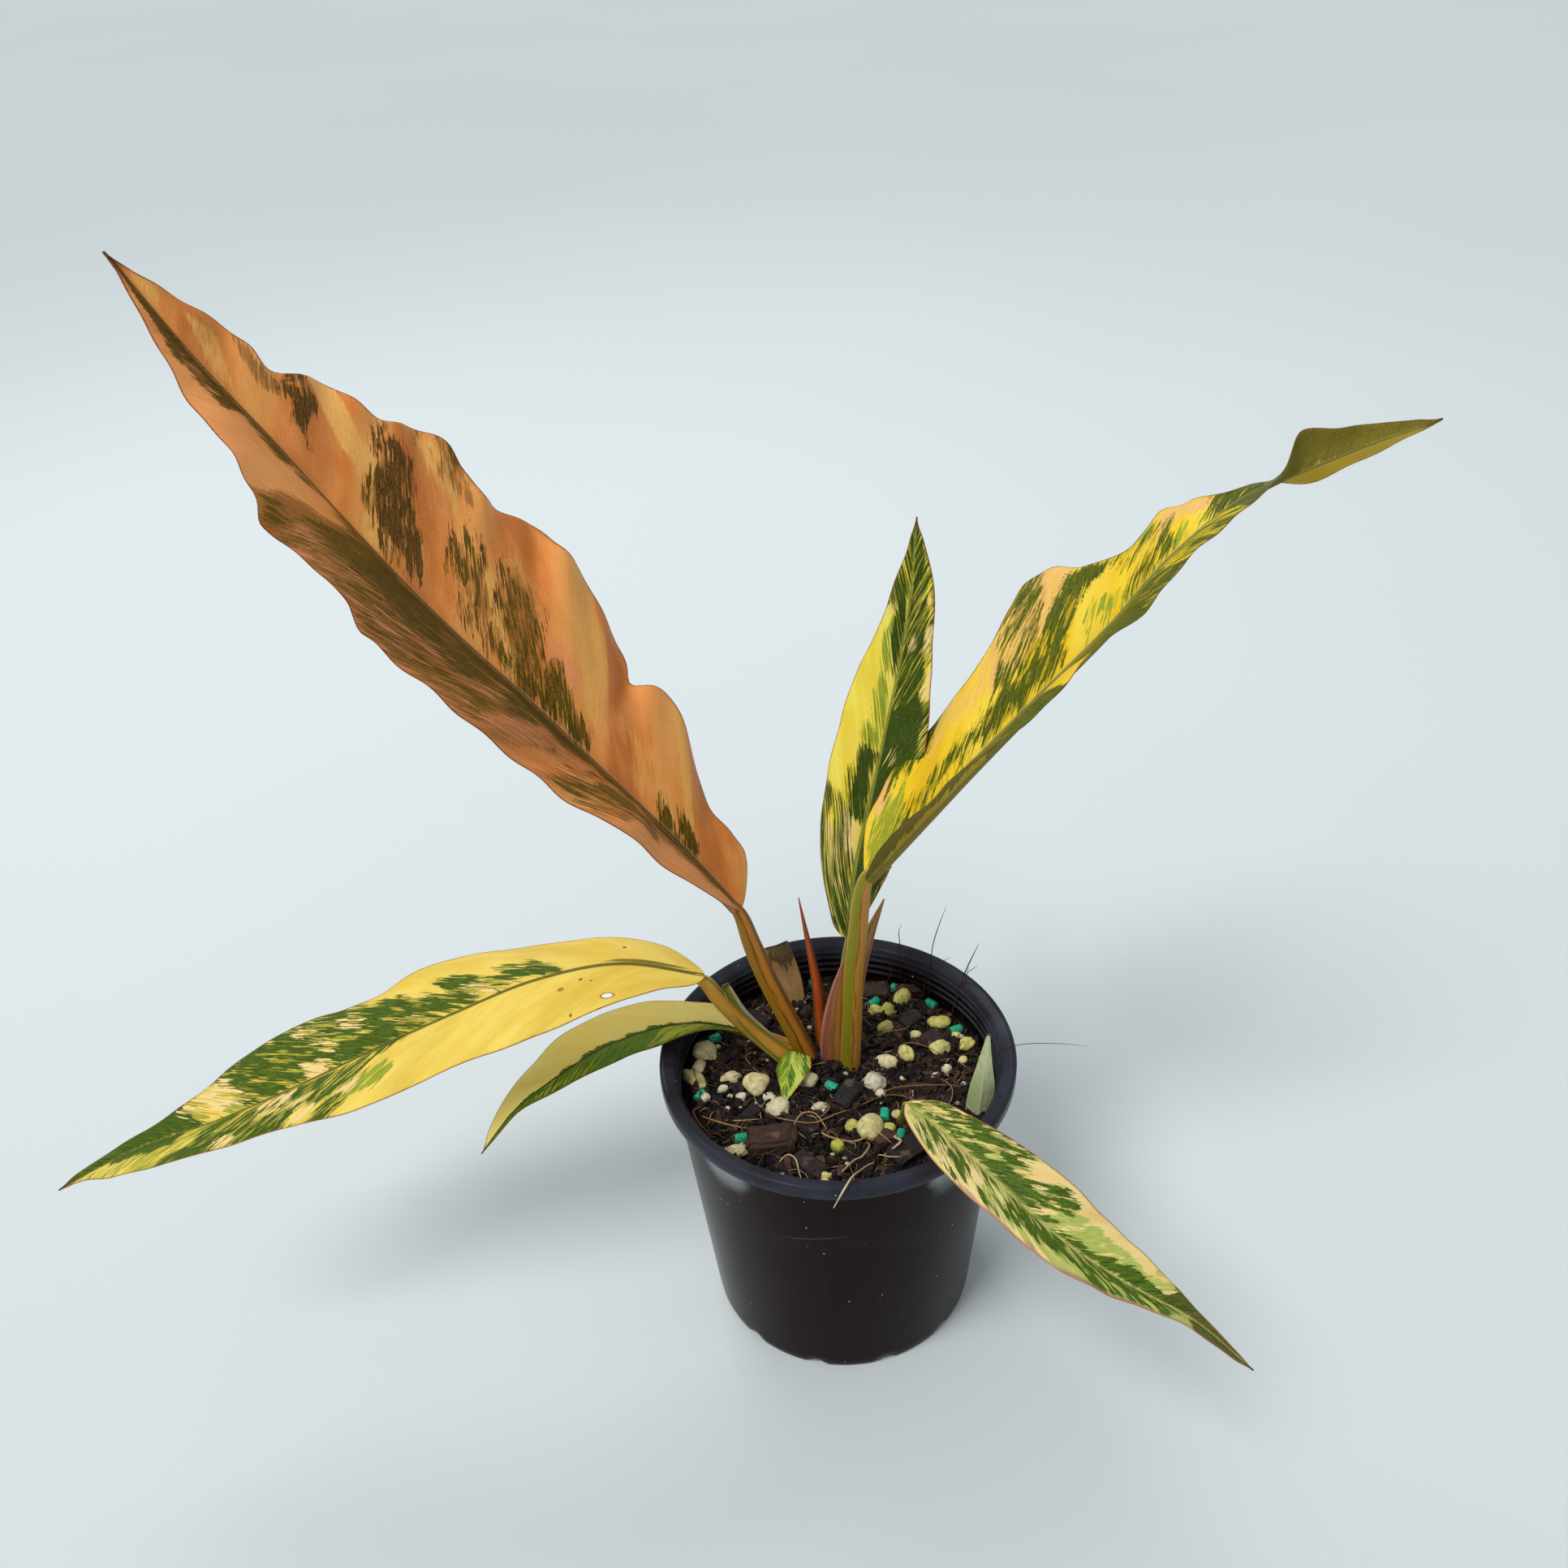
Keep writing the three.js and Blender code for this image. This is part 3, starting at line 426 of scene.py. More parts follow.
class Blade:
    """A leaf's drawn shape and the places on it."""

    def __init__(self, midrib, left, right, lift_left, lift_right, roll=(0, 0), curl=8,
                 ruffle_left=(0, 50, 0), ruffle_right=(0, 50, 0), keel=1.6, up=(0, 0, 1),
                 rounded=True, groove=0.35, quilt=0.08, lean=(1.6, 1.6), nicks=()):
        self.midrib = midrib
        self.widths = {-1: left, 1: right}
        self.lifts = {-1: lift_left, 1: lift_right}
        self.ruffles = {-1: ruffle_left, 1: ruffle_right}
        self.roll = roll
        self.curl = curl
        self.keel = keel
        self.up = up
        self.rounded = rounded
        self.groove = groove
        self.quilt = quilt
        self.leans = lean            # how far side veins run tipward for each step outward
        self.nicks = nicks           # place along the midrib, hand, depth and reach of each
        self.length = curve_length(midrib)

    def surface(self, share, across):
        """Upper face at shares of the length and signed shares of the half width."""
        centre, _, normal, side = curve_frame(self.midrib, share, self.up, self.roll)
        hand = np.where(across < 0, -1.0, 1.0)
        out_share = np.abs(across)
        place = share * self.length
        width = self.half_width(share, place, hand)
        lift = self.pick(self.lifts, hand, share) + self.curl * (0.5 - out_share)
        lift = np.radians(lift)[..., None]
        sign = hand[..., None]
        away = sign * side * np.cos(lift) + normal * np.sin(lift)
        face = normal * np.cos(lift) - sign * side * np.sin(lift)
        out = width * out_share
        vein = place - WAVE_LEAN * out
        height = self.waves(share, vein, out_share, hand)
        height = height - self.groove * np.exp(-(out / GROOVE_WIDTH) ** 2)
        size, length = QUILT_DRIFT
        quilting = np.sin(vein / QUILT_LENGTH + size * np.sin(vein / length)) * (1 - out_share ** 2)
        height = height + self.quilt * quilting * ramp(out, *QUILT_START)
        point = centre + away * out[..., None] + face * height[..., None]
        middle = ramp(-out, -KEEL_WIDTH, 0.0)[..., None]
        face = unit(face * (1 - middle) + normal * middle)
        flow = place - np.where(hand < 0, self.leans[0], self.leans[1]) * out
        return point, face, vein, flow, out * hand, width - out

    def half_width(self, share, place, hand):
        width = self.pick(self.widths, hand, share)
        if self.rounded:
            base = np.minimum(share / BASE_ROUNDING, 1)
            width = width * np.sqrt(base * (2 - base))
        for start, key, depth, reach in self.nicks:
            width = width - np.where(hand == key, depth * np.exp(-((place - start) / reach) ** 2), 0)
        if self.rounded:
            width = width * ramp(self.length - place, -TIP_OVERRUN, TIP_LENGTH)
        return np.maximum(width, TIP_HALF_WIDTH)

    def pick(self, lists, hand, share):
        return np.where(hand < 0, smooth(lists[-1], share), smooth(lists[1], share))

    def waves(self, share, vein, out_share, hand):
        """Height of the waves that follow the side veins and grow towards the edge."""
        total = 0
        fade = np.sqrt(np.clip(np.sin(math.pi * share), 0, 1))
        height, length = SECOND_WAVE
        for key in (-1, 1):
            size, wavelength, phase = self.ruffles[key]
            place = CIRCLE * vein / wavelength
            wave = np.sin(place + phase) + height * np.sin(place / length + 2 * phase)
            total = total + np.where(hand == key, size * out_share ** 2 * fade * wave, 0)
        return total

    def crests(self, share, vein, hand):
        """-1 in the valleys between the waves to 1 on their crests, which sets their painted shade and
        highlight.
        """
        total = np.zeros(share.shape)
        for key in (-1, 1):
            size, wavelength, phase = self.ruffles[key]
            wave = np.sin(CIRCLE * vein / wavelength + phase)
            total = total + np.where(hand == key, wave * min(size / FULL_CREST, 1), 0)
        return total

    def mesh(self, name, material, layers, seed, spacing, columns):
        """Both faces and the edge of the blade, with the places and markings as attributes."""
        rows = int(self.length / spacing)
        shares = np.linspace(0, 1, rows)
        if self.rounded:
            crowded = np.linspace(0, 1, BASE_ROWS + 1)[:-1] ** 2 * BASE_SHARE
            shares = np.concatenate([crowded, np.linspace(BASE_SHARE, 1, rows)])
        out = np.concatenate([INNER_COLUMNS, np.linspace(OUTER_COLUMNS, 1, columns)])
        signed = np.concatenate([-out[:0:-1], out])
        share, across = np.meshgrid(shares, signed, indexing="ij")
        upper, face, vein, flow, offset, edge = self.surface(share, across)
        rib = np.exp(-(offset / KEEL_WIDTH) ** 2)
        thin = EDGE_THICKNESS + (1 - EDGE_THICKNESS) * ramp(edge, 0, EDGE_TAPER)
        depth = BLADE_THICKNESS * thin + self.keel * (1 - KEEL_TAPER * share) * rib
        lower = upper - face * depth[..., None]
        attributes = {
            "vein": twice(np.stack([flow, offset, edge], axis=-1)),
            "under": np.repeat([0.0, 1.0], share.size),
            "along": twice(share),
            "wave": twice(self.crests(share, vein, np.sign(across))),
        }
        for index, layer in enumerate(layers):
            mark = paint(layer["patches"], vein, across, offset, seed + index)
            attributes[f"mark_{layer['name']}"] = twice(mark)
        faces = blade_faces(len(shares), len(signed))
        return new_mesh(name, np.stack([upper, lower]), faces, material, True, attributes)


def twice(values):
    """One value for each point of the upper face, and the same again for the lower face."""
    values = values.reshape(-1, *values.shape[2:])
    return np.concatenate([values, values])


def blade_faces(rows, columns):
    """Faces over the upper points, the lower points and the edge between them."""
    under = rows * columns
    faces = grid_faces(rows, columns) + grid_faces(rows, columns, under, flip=True)
    rim = [row * columns for row in range(rows)]
    rim += [(rows - 1) * columns + column for column in range(1, columns)]
    rim += [row * columns + columns - 1 for row in range(rows - 2, -1, -1)]
    rim += list(range(columns - 2, 0, -1))
    return faces + [(a, b, under + b, under + a) for a, b in zip(rim, rim[1:] + rim[:1])]


def soft_box(value, low, high, soft):
    return ramp(value, low - soft, low + soft) * ramp(-value, -high - soft, -high + soft)


def paint(patches, vein, across, offset, seed):
    """How strongly each place lies in one of the patches, from 0 to 1.

    A patch is its start and end along the midrib in millimetres, counted where its side veins
    leave it, its two edges as signed shares of the half width, its strength, and its slant in
    millimetres for each whole half width. Its ends fray along the side veins.
    """
    def fray(step, size, along, out):
        return size * ripple(seed + step, vein / along, offset / out)

    drift = fray(0, *COARSE_FRAY) + fray(50, *FINE_FRAY)
    spread = fray(90, *SIDE_FRAY)
    total = np.zeros(vein.shape)
    for start, end, near, far, *rest in patches:
        strength, slant = rest + [1.0, 0.0][len(rest):]
        leaned = vein + drift - slant * (across - (near + far) / 2)
        inner = -OFF_THE_EDGE if near <= -MARGIN else near
        outer = OFF_THE_EDGE if far >= MARGIN else far
        inside = soft_box(leaned, start, end, PATCH_SOFTNESS)
        inside = inside * soft_box(across + spread, inner, outer, PATCH_FRAY)
        if far <= 0 or near >= 0:
            inside = inside * ramp(across * (1 if near >= 0 else -1), *MIDRIB_SIDE)
        total = np.maximum(total, strength * inside)
    return total


def add_flecks(shader, colour, along, offset, flecks):
    """Small oval flecks: place along and across, half lengths, in millimetres, ink and heart."""
    for place, side, long, wide, ink, heart in flecks:
        reach = shader.distance((along - place) * (1 / long), (offset - side) * (1 / wide))
        colour = colour.tinted(reach.step(1.2, 0.8) * 0.8, ink)
        if heart:
            colour = colour.tinted(reach.step(0.8, 0.68), heart)
    return colour


def add_layers(shader, colour, layers, grain, loose, fine, blotch):
    """Lays each layer's ink where its mark, frayed by the grain, passes the layer's edge."""
    for layer in layers:
        mark = shader.attribute(f"mark_{layer['name']}")
        dark, pale = layer["ink"]
        if layer["halo"]:
            halo = (mark + (loose - 0.5) * layer["fray"]).step(*HALO_EDGE)
            colour = colour.tinted(halo * layer["halo"], pale)
        share = (mark + (grain - 0.5) * layer["fray"]).step(*layer["edge"])
        ink = shader.mix(fine.step(0.4, 0.62), dark, pale)
        ink = ink.tinted(blotch.step(0.5, 0.75) * 0.4, pale)
        if layer["veil"] < 1:
            share = share * layer["veil"]
        colour = colour.tinted(share, ink)
    return colour


def leaf_material(name, look, layers, length):
    """Skin with streaked markings, a drawn midrib, a fine margin, a paler underside and painted light and
    shade on the waves.
    """
    shader = Shader(name)
    seed = look["seed"]
    vein, offset, edge = shader.split(shader.attribute("vein", "Vector"))
    along, wave, under = [shader.attribute(key) for key in ("along", "wave", "under")]

    def noise(step, long, wide, detail=2.0):
        """Noise stretched along the side veins, with its grain in millimetres."""
        where = shader.join(vein * (1 / long), offset * (1 / wide), seed + step)
        return shader.noise(where, 1.0, detail, 0.6)

    streak = noise(0, *look["streak"], 3.0)
    blotch = noise(3, *look["blotch"])
    fine = noise(7, *FINE_GRAIN)
    loose = noise(11, *LOOSE_GRAIN, 3.0).step(0.34, 0.66)
    pores = shader.noise(shader.join(vein, offset, seed), 1.9, 3.0, 0.7)
    share = look["streak_share"]
    grain = (streak * share + blotch * (1 - share)).step(0.37, 0.63)

    tone = (noise(5, *BROAD_GRAIN) * 0.8 + streak * 0.2).step(0.36, 0.64)
    colour = shader.mix(tone, *look["base"])
    # Painted highlight on the waves' crests and painted shade in their valleys.
    colour = colour.tinted(wave.step(0.15, 1.0) * look["crest_share"], look["crest"])
    colour = colour.tinted(wave.step(-0.1, -1.0) * look["valley_shade_share"], look["valley_shade"])
    colour = add_layers(shader, colour, layers, grain, loose, fine, blotch)

    ratio = shader.math("DIVIDE", abs(offset), along.step(1.0, 0.0) * look["rib_width"] + RIB_TIP)
    colour = colour.tinted(ratio.step(1.0, 0.75) * look["rib_share"], look["rib"])
    line = abs(ratio - 1.05).step(0.22, 0.0)
    colour = colour.tinted(line * look["line_share"], look["line"])
    rim = (edge + (streak - 0.5) * 0.6).step(look["margin_width"], 0.1)
    colour = colour.tinted(rim * 0.8, look["margin"])
    colour = add_flecks(shader, colour, along * length, offset, look["flecks"])
    colour = colour.tinted(along.step(0.962, 0.995), look["tip"])
    colour = shader.mix(under, colour, colour.tinted(0.5, look["under"]))
    # Fine grain of darker pores, with painted glints in the crest colour between them.
    colour = colour.tinted(pores.step(0.48, 0.7) * look["dapple"], look["deep"])
    colour = colour.tinted(pores.step(0.5, 0.28) * look["dapple"], look["crest"])

    height = fine * 0.5 + pores * 0.6 + streak * 0.4
    gloss = streak * 0.2 + (look["roughness"] - 0.1) + under * 0.2
    return shader.finish(Base_Color=colour, Roughness=gloss, Specular_IOR_Level=look["specular"],
                         Normal=shader.bump(height, *LEAF_BUMP), **LEAF_FLESH)


def layer(name, ink, patches, fray=0.85, edge=(0.46, 0.54), veil=1.0, halo=0.0):
    """A marking of one dark and one pale ink, laid over the layers before it.

    It shows where its patches are stronger than its edge. Fray is how far the grain moves that,
    veil is the strength of the ink, and halo that of a pale seam round it.
    """
    return dict(name=name, ink=ink, patches=patches, fray=fray, edge=edge, veil=veil, halo=halo)


# What the looks of the leaves share
# The crest colour is a painted highlight on the waves' crests and in the fine grain, and the valley
# colour is painted shade in the waves' valleys.
LOOK = dict(
    crest=(246, 214, 120), crest_share=0.3, valley_shade=(120, 84, 30), valley_shade_share=0.15, dapple=0.16,
    specular=0.13, roughness=0.4, rib_share=0.8, line_share=0.4, margin_width=0.55, streak=(1.1, 8),
    blotch=(3.6, 8), streak_share=0.6, tip=(74, 44, 24), flecks=[])
FLECK = (112, 70, 30)
DARK_GREEN = ((26, 64, 0), (80, 110, 4))
MID_GREEN = ((126, 148, 36), (166, 178, 52))
OLIVE = ((66, 52, 0), (122, 92, 14))
CREAM = ((242, 206, 134), (246, 222, 150))
PEACH = ((238, 178, 100), (244, 200, 116))

LEAF_1 = Blade(
    midrib=[(-32, 14, 172), (-52, 16, 201), (-74, 19, 229), (-96, 23, 256), (-119.4, 28, 282.6),
            (-140.8, 33, 310.4), (-161, 38, 339), (-181.8, 43, 367.3), (-201, 48, 397)],
    roll=(-8, -8),
    left=[4, 20, 32, 40, 43, 43.6, 41, 34.6, 20.6, 9.2, 0.5],
    right=[10, 17, 19, 20, 26, 32, 37, 39, 36, 41, 45, 48, 51, 51, 53, 48.5, 43, 45, 48.2, 44.3, 33.4,
           30.4, 27.4, 16.4, 15.4, 14, 8.6, 3, 0.5],
    lift_left=[26, 28, 29, 28, 35, 31, 27, 29, 30, 28, 27, 28, 28, 27, 23, 22, 24, 10, 12, 20, 20],
    lift_right=[30, 26, 22, 22, 24],
    curl=14, ruffle_left=(1.2, 46, 0.5), ruffle_right=(3, 46, 2.4), keel=2.6, groove=0.6,
    quilt=0.1, lean=(2.3, 1.05),
    nicks=[(82, 1, 2.8, 3.5), (200, 1, 1.6, 4), (232, 1, 1.8, 5), (168, -1, 1.4, 4),
           (160, -1, -2, 2.6), (208, -1, 1.4, 4), (201, -1, -1.4, 3)])
LEAF_1_LOOK = dict(
    LOOK, seed=1, base=((226, 132, 58), (244, 160, 86)), crest=(250, 194, 112), crest_share=0.4,
    valley_shade=(150, 84, 42), valley_shade_share=0.35, dapple=0.24, rib=(98, 84, 44), rib_width=1.1,
    line=(196, 156, 128), line_share=0.6, margin=(110, 40, 36), under=(156, 88, 58), deep=(150, 84, 38),
    roughness=0.42)
LEAF_1_LAYERS = [
    # The sheen layer is partly a painted highlight: pale yellow bands along the waves' crests, over paler
    # bands of the leaf's own colour.
    layer("sheen", ((240, 176, 92), (250, 200, 112)), fray=0.3, edge=(0.2, 0.8), veil=0.8, patches=[
        (28, 36, 0.3, 1, 0.8, 6), (70, 84, 0.3, 1, 0.7, 10), (182, 197, 0.3, 1, 0.95, 34),
        (140, 156, 0.72, 0.98, 0.8, 12), (236, 250, 0.1, 0.7, 0.6, 20), (262, 272, 0.2, 0.8, 0.6),
        (40, 60, 0.1, 0.5, 0.5), (196, 208, -0.35, -0.03, 0.7, -40), (164, 178, 0, 0.2, 0.9),
        (116, 125, 0.05, 0.5, 0.85, 20), (104, 116, 0.5, 0.7, 0.5),
    ]),
    layer("rose", ((234, 142, 96), (242, 160, 112)), fray=0.4, edge=(0.25, 0.75), veil=0.6, patches=[
        (60, 76, 0.25, 0.6, 0.6), (84, 100, 0.25, 0.5, 0.7), (196, 214, -0.75, -0.2, 0.7, -40),
        (0, 30, -0.9, -0.3, 0.8), (206, 216, 0, 0.25, 0.6), (140, 150, 0.5, 0.7, 0.5),
    ]),
    layer("brown", ((112, 82, 24), (166, 104, 50)), fray=0.6, edge=(0.3, 0.7), veil=0.78, patches=[
        (100, 116, 0.12, 0.55, 0.8), (123, 132, 0.05, 0.45, 0.72, 20), (216, 230, 0.4, 0.98, 0.7, 18),
        (240, 250, 0.4, 0.8, 0.4), (0, 62, -0.3, 0, 0.6), (174, 190, -1, -0.4, 0.8, -20),
        (76, 180, -1, -0.03, 0.8), (133, 150, 0.8, 1, 0.6), (222, 230, -0.7, -0.5, 0.6, -80),
        (116, 140, 0.05, 0.3, 0.5),
    ]),
    layer("tan", ((250, 164, 96), (255, 182, 116)), fray=0.3, edge=(0.2, 0.8), veil=0.8, patches=[
        (188, 244, -1, -0.03, 0.85), (0, 40, -1, -0.3, 0.6), (244, 270, -1, -0.4, 0.6),
    ]),
    layer("green", OLIVE, halo=0.5, patches=[
        (23, 30, 0.02, 0.27), (28, 34, 0.1, 0.37), (30, 44, 0, 0.1), (37, 44, 0.02, 0.2),
        (76, 84, 0, 0.2), (84, 100, 0, 0.17), (86, 98, 0.08, 0.28), (96, 113, 0, 0.15, 0.95),
        (98, 120, 0.08, 0.55, 0.5), (163, 173, 0, 0.14, 0.62), (170, 180, 0.13, 0.4, 0.66),
        (127, 144, 0.2, 0.62, 0.52), (118, 139, 0.06, 0.28, 0.45), (140, 160, 0.88, 1, 0.5),
        (240, 276, -0.62, 0, 0.95), (222, 245, -0.5, 0, 0.95), (204, 226, -0.26, 0, 0.9),
        (176, 206, -0.05, 0, 0.9), (166, 186, -0.14, 0, 0.9), (80, 174, -0.36, 0),
        (88, 176, -0.64, -0.3, 0.95), (92, 172, -0.88, -0.55, 0.72), (84, 160, -1, -0.82, 0.55),
        (172, 184, -0.98, -0.72, 0.72), (156, 168, -0.98, -0.8, 0.62), (8, 92, -0.3, 0, 0.9),
        (10, 40, -0.5, -0.25, 0.55), (36, 62, -0.7, -0.34, 0.8), (40, 66, -0.92, -0.62, 0.6),
        (62, 84, -0.6, -0.3, 0.5),
    ]),
    layer("dark", ((30, 44, 2), (70, 70, 10)), veil=0.7, patches=[
        (84, 164, -0.36, -0.03, 0.8), (104, 160, -0.66, -0.3, 0.58), (222, 262, -0.3, -0.03, 0.6),
        (20, 84, -0.22, -0.03, 0.6), (86, 110, 0, 0.12, 0.6), (24, 34, 0.05, 0.3, 0.5),
    ]),
    layer("pink", ((204, 126, 80), (230, 152, 104)), veil=0.9, patches=[
        (230, 248, -0.46, -0.28, 0.55), (146, 174, -0.9, -0.62, 0.45), (94, 108, -0.7, -0.5, 0.5),
        (128, 136, -0.22, -0.1, 0.5), (76, 90, -0.95, -0.3, 0.55), (60, 160, -1, -0.9, 0.55),
        (66, 80, -0.5, -0.3, 0.8), (104, 112, -0.36, -0.2, 0.45), (112, 140, -0.85, -0.5, 0.36),
    ]),
    layer("rust", ((66, 46, 6), (112, 78, 26)), halo=0.5, patches=[
        (154, 175, 0.1, 0.36, 0.85), (157, 176, 0.3, 0.56, 0.85), (161, 175, 0.5, 0.74, 0.66),
        (171, 179, 0.6, 0.93, 0.6), (201, 210, 0.27, 0.7, 0.95), (203, 215, 0.45, 0.82, 0.7),
        (204, 213, 0.75, 1, 0.85),
    ]),
]

LEAF_2 = Blade(
    midrib=[(12, 9, 187), (31, 10, 210), (50, 12, 232), (69, 13, 254), (89, 15, 276),
            (107, 17, 299), (129, 20, 317), (157, 22, 328), (185, 24, 336)],
    roll=(0, -2, -4, -4, -6, -8, -10, -10, -12, -24, -62, -92, -100),
    left=[8, 18, 21, 25, 25, 26, 28, 27, 29, 30, 35, 40, 36, 22, 18, 18, 20, 9, 7, 8, 8, 7.2, 5.2,
          2.8, 0.5],
    right=[6, 9, 12, 15, 17, 18, 19, 20, 21, 22, 23, 23, 21, 19, 17, 15, 13, 12, 11, 11, 11, 7.5,
           5, 2.6, 0.5],
    lift_left=[22, 24, 26, 28, 30, 32, 32, 26, 24, 16, 14, 14, 14],
    lift_right=[45, 49, 50, 46, 43, 41, 35, 27, 26, 24, 23, 22, 24, 17, 8, 9, 14, 6, -4, -2, 46,
                25, 30, 20, 20],
    curl=10, ruffle_left=(2.2, 52, 0.8), ruffle_right=(1, 40, 0), keel=2.6, groove=0.5)
LEAF_2_LOOK = dict(
    LOOK, seed=2, base=((240, 196, 16), (250, 214, 50)), crest=(252, 230, 100), streak=(1.1, 5.5),
    blotch=(3.2, 7), streak_share=0.55, rib=(112, 118, 62), rib_width=1.8, rib_share=0.9,
    line=(190, 180, 120), line_share=0.6, margin=(104, 62, 30), under=(140, 116, 46), deep=(170, 140, 20),
    roughness=0.38)
LEAF_2_LAYERS = [
    layer("peach", PEACH, edge=(0.3, 0.7), patches=[
        (2, 12, -1, -0.72, 0.9), (18, 30, -1, -0.85, 0.6), (62, 100, -1, -0.42, 0.8),
        (138, 162, -0.97, -0.42, 0.85), (28, 62, -0.95, -0.62, 0.5),
    ]),
    layer("lime", ((132, 150, 36), (176, 178, 44)), patches=[
        (0, 20, -0.75, -0.16, 0.8), (108, 166, -0.32, -0.02, 0.55), (118, 136, -1, -0.84, 0.6),
        (140, 170, 0, 1, 0.6), (36, 60, -0.3, -0.1, 0.4),
    ]),
    layer("green", ((38, 58, 0), (96, 108, 2)), halo=0.6, patches=[
        (8, 34, -1, -0.78, 0.72), (16, 34, -0.82, -0.68, 0.6), (10, 60, -0.36, -0.15, 0.52),
        (60, 88, -0.42, -0.1, 0.82), (64, 86, -0.7, -0.38, 0.55), (66, 84, -1, -0.7, 0.6),
        (78, 100, -0.3, -0.06, 0.7), (90, 102, -0.5, -0.1, 0.7, -20), (95, 112, -0.97, -0.35, 0.82, -25),
        (122, 140, -0.85, -0.6, 0.48), (128, 140, -0.42, -0.05, 0.58), (140, 148, -0.7, -0.05, 0.58),
        (136, 150, -0.65, -0.5, 0.5), (163, 184, -1, 0, 0.85), (0, 60, 0.2, 1, 0.95), (60, 84, 0, 1),
        (95, 122, 0, 1, 0.95), (118, 140, 0, 1, 0.75), (140, 165, 0, 1, 0.42), (165, 240, 0, 1),
    ]),
]

LEAF_3 = Blade(
    midrib=[(6, 22, 150), (9, 28, 175), (15, 35, 199), (21, 43, 222), (27, 52, 245), (32, 62, 268),
            (35, 72, 292)],
    left=[5, 7.5, 11, 15, 17.5, 18, 18, 17, 16.5, 14.5, 11, 8, 6, 2.5, 0.5],
    right=[5, 7, 12, 17.5, 19.5, 20, 20.5, 20, 17.5, 15, 13, 11, 8.5, 4.5, 0.5],
    lift_left=[24, 16, 12, 14, 16], lift_right=[24, 22, 20, 20, 20], curl=10,
    ruffle_left=(0.6, 50, 0), ruffle_right=(0.6, 50, 1), keel=1.6, groove=0.4,
    lean=(3.2, 2.4))
LEAF_3_LOOK = dict(
    LOOK, seed=3, base=((250, 222, 66), (255, 242, 108)), crest=(255, 246, 150), streak=(1, 7),
    blotch=(2.8, 9), rib=(88, 112, 40), rib_width=0.7, line=(196, 190, 120), margin=(150, 88, 70),
    under=(116, 116, 50), deep=(200, 172, 44))
LEAF_3_LAYERS = [
    layer("peach", CREAM, [(26, 44, -0.62, -0.04, 0.85), (0, 30, -1, -0.2, 0.7)], edge=(0.3, 0.7)),
    layer("lime", MID_GREEN, patches=[
        (69, 78, -0.5, -0.05, 0.8), (80, 96, -0.42, -0.05, 0.75, -25), (100, 116, -0.7, -0.22, 0.75, -25),
        (0, 18, -0.9, -0.1, 0.6), (124, 154, -0.8, 0, 0.75),
    ]),
    layer("green", ((8, 40, 0), (44, 82, 0)), halo=0.6, patches=[
        (0, 12, -1, -0.1, 0.52), (10, 45, -1, -0.8, 0.6), (0, 30, -0.8, -0.5, 0.48),
        (18, 40, -0.72, -0.3, 0.55), (5, 30, -0.5, -0.05, 0.5), (35, 46, -0.9, -0.35, 0.55),
        (42, 70, -0.4, -0.02, 0.9), (44, 56, -0.55, -0.3, 0.6), (103, 128, -0.52, -0.02, 0.85, -25),
        (118, 134, -1, -0.4, 0.7), (128, 156, -1, 0, 0.6), (-20, 88, 0, 0.86), (80, 160, 0, 0.84, 0.72),
        (-20, 160, 0.8, 1, 0.6),
    ]),
    layer("spots", CREAM, patches=[
        (64, 70, 0.22, 0.4, 0.5), (107, 112, 0.15, 0.45, 0.5), (82, 94, 0.86, 1, 0.9),
        (95, 112, 0.7, 1, 0.4), (117, 123, 0.7, 0.9, 0.7), (113, 119, -0.9, -0.6, 0.6),
    ]),
]

LEAF_4 = Blade(
    midrib=[(-46, 5, 151), (-75, 3, 160), (-105, 0, 157), (-134, -5, 148), (-162, -10, 138),
            (-190, -16, 128), (-219, -22, 119), (-248, -28, 113), (-276, -35, 102)],
    left=[8, 10, 16, 20.5, 23.5, 25, 26.5, 25.5, 26, 25.5, 26.5, 26, 24, 19.5, 18, 17, 17.5, 16,
          11.5, 4.5, 0.5],
    right=[8, 14.5, 16.5, 19, 21, 25.5, 28.5, 31, 32.5, 30.5, 27.5, 27.5, 30.5, 29, 27.5, 22, 13,
           7, 5, 3.5, 0.5],
    lift_left=[4, 0, -2, 0, 4, 8, 12, 14, 14], lift_right=[-4, -6, -6, 0, 6, 6, 8, 8, 8],
    ruffle_left=(0.8, 60, 1), ruffle_right=(0.8, 60, 0), keel=2, groove=0.45)
LEAF_4_LOOK = dict(
    LOOK, seed=4, base=((232, 198, 74), (246, 218, 102)), crest=(252, 230, 126), dapple=0.1,
    streak=(1.3, 7), blotch=(4.4, 9), streak_share=0.5, rib=(76, 82, 22), rib_width=0.85, rib_share=0.9,
    line=(214, 196, 120), line_share=0.3, margin=(158, 90, 58), under=(168, 136, 60), deep=(204, 166, 48),
    flecks=[
        (35.4, -15.7, 2.6, 1.35, FLECK, (244, 248, 250)), (51.9, -8.9, 1.1, 0.9, FLECK, (176, 130, 60)),
        (44.6, -6.1, 0.8, 0.7, FLECK, None), (28.7, 9.9, 0.8, 0.7, FLECK, None),
        (40.9, -7.6, 0.5, 0.4, FLECK, None), (48.9, -20.9, 0.6, 0.8, FLECK, None),
        (38, -21.2, 1.5, 0.6, FLECK, None), (21, 1.8, 14.5, 0.8, (62, 76, 10), None),
    ]
)
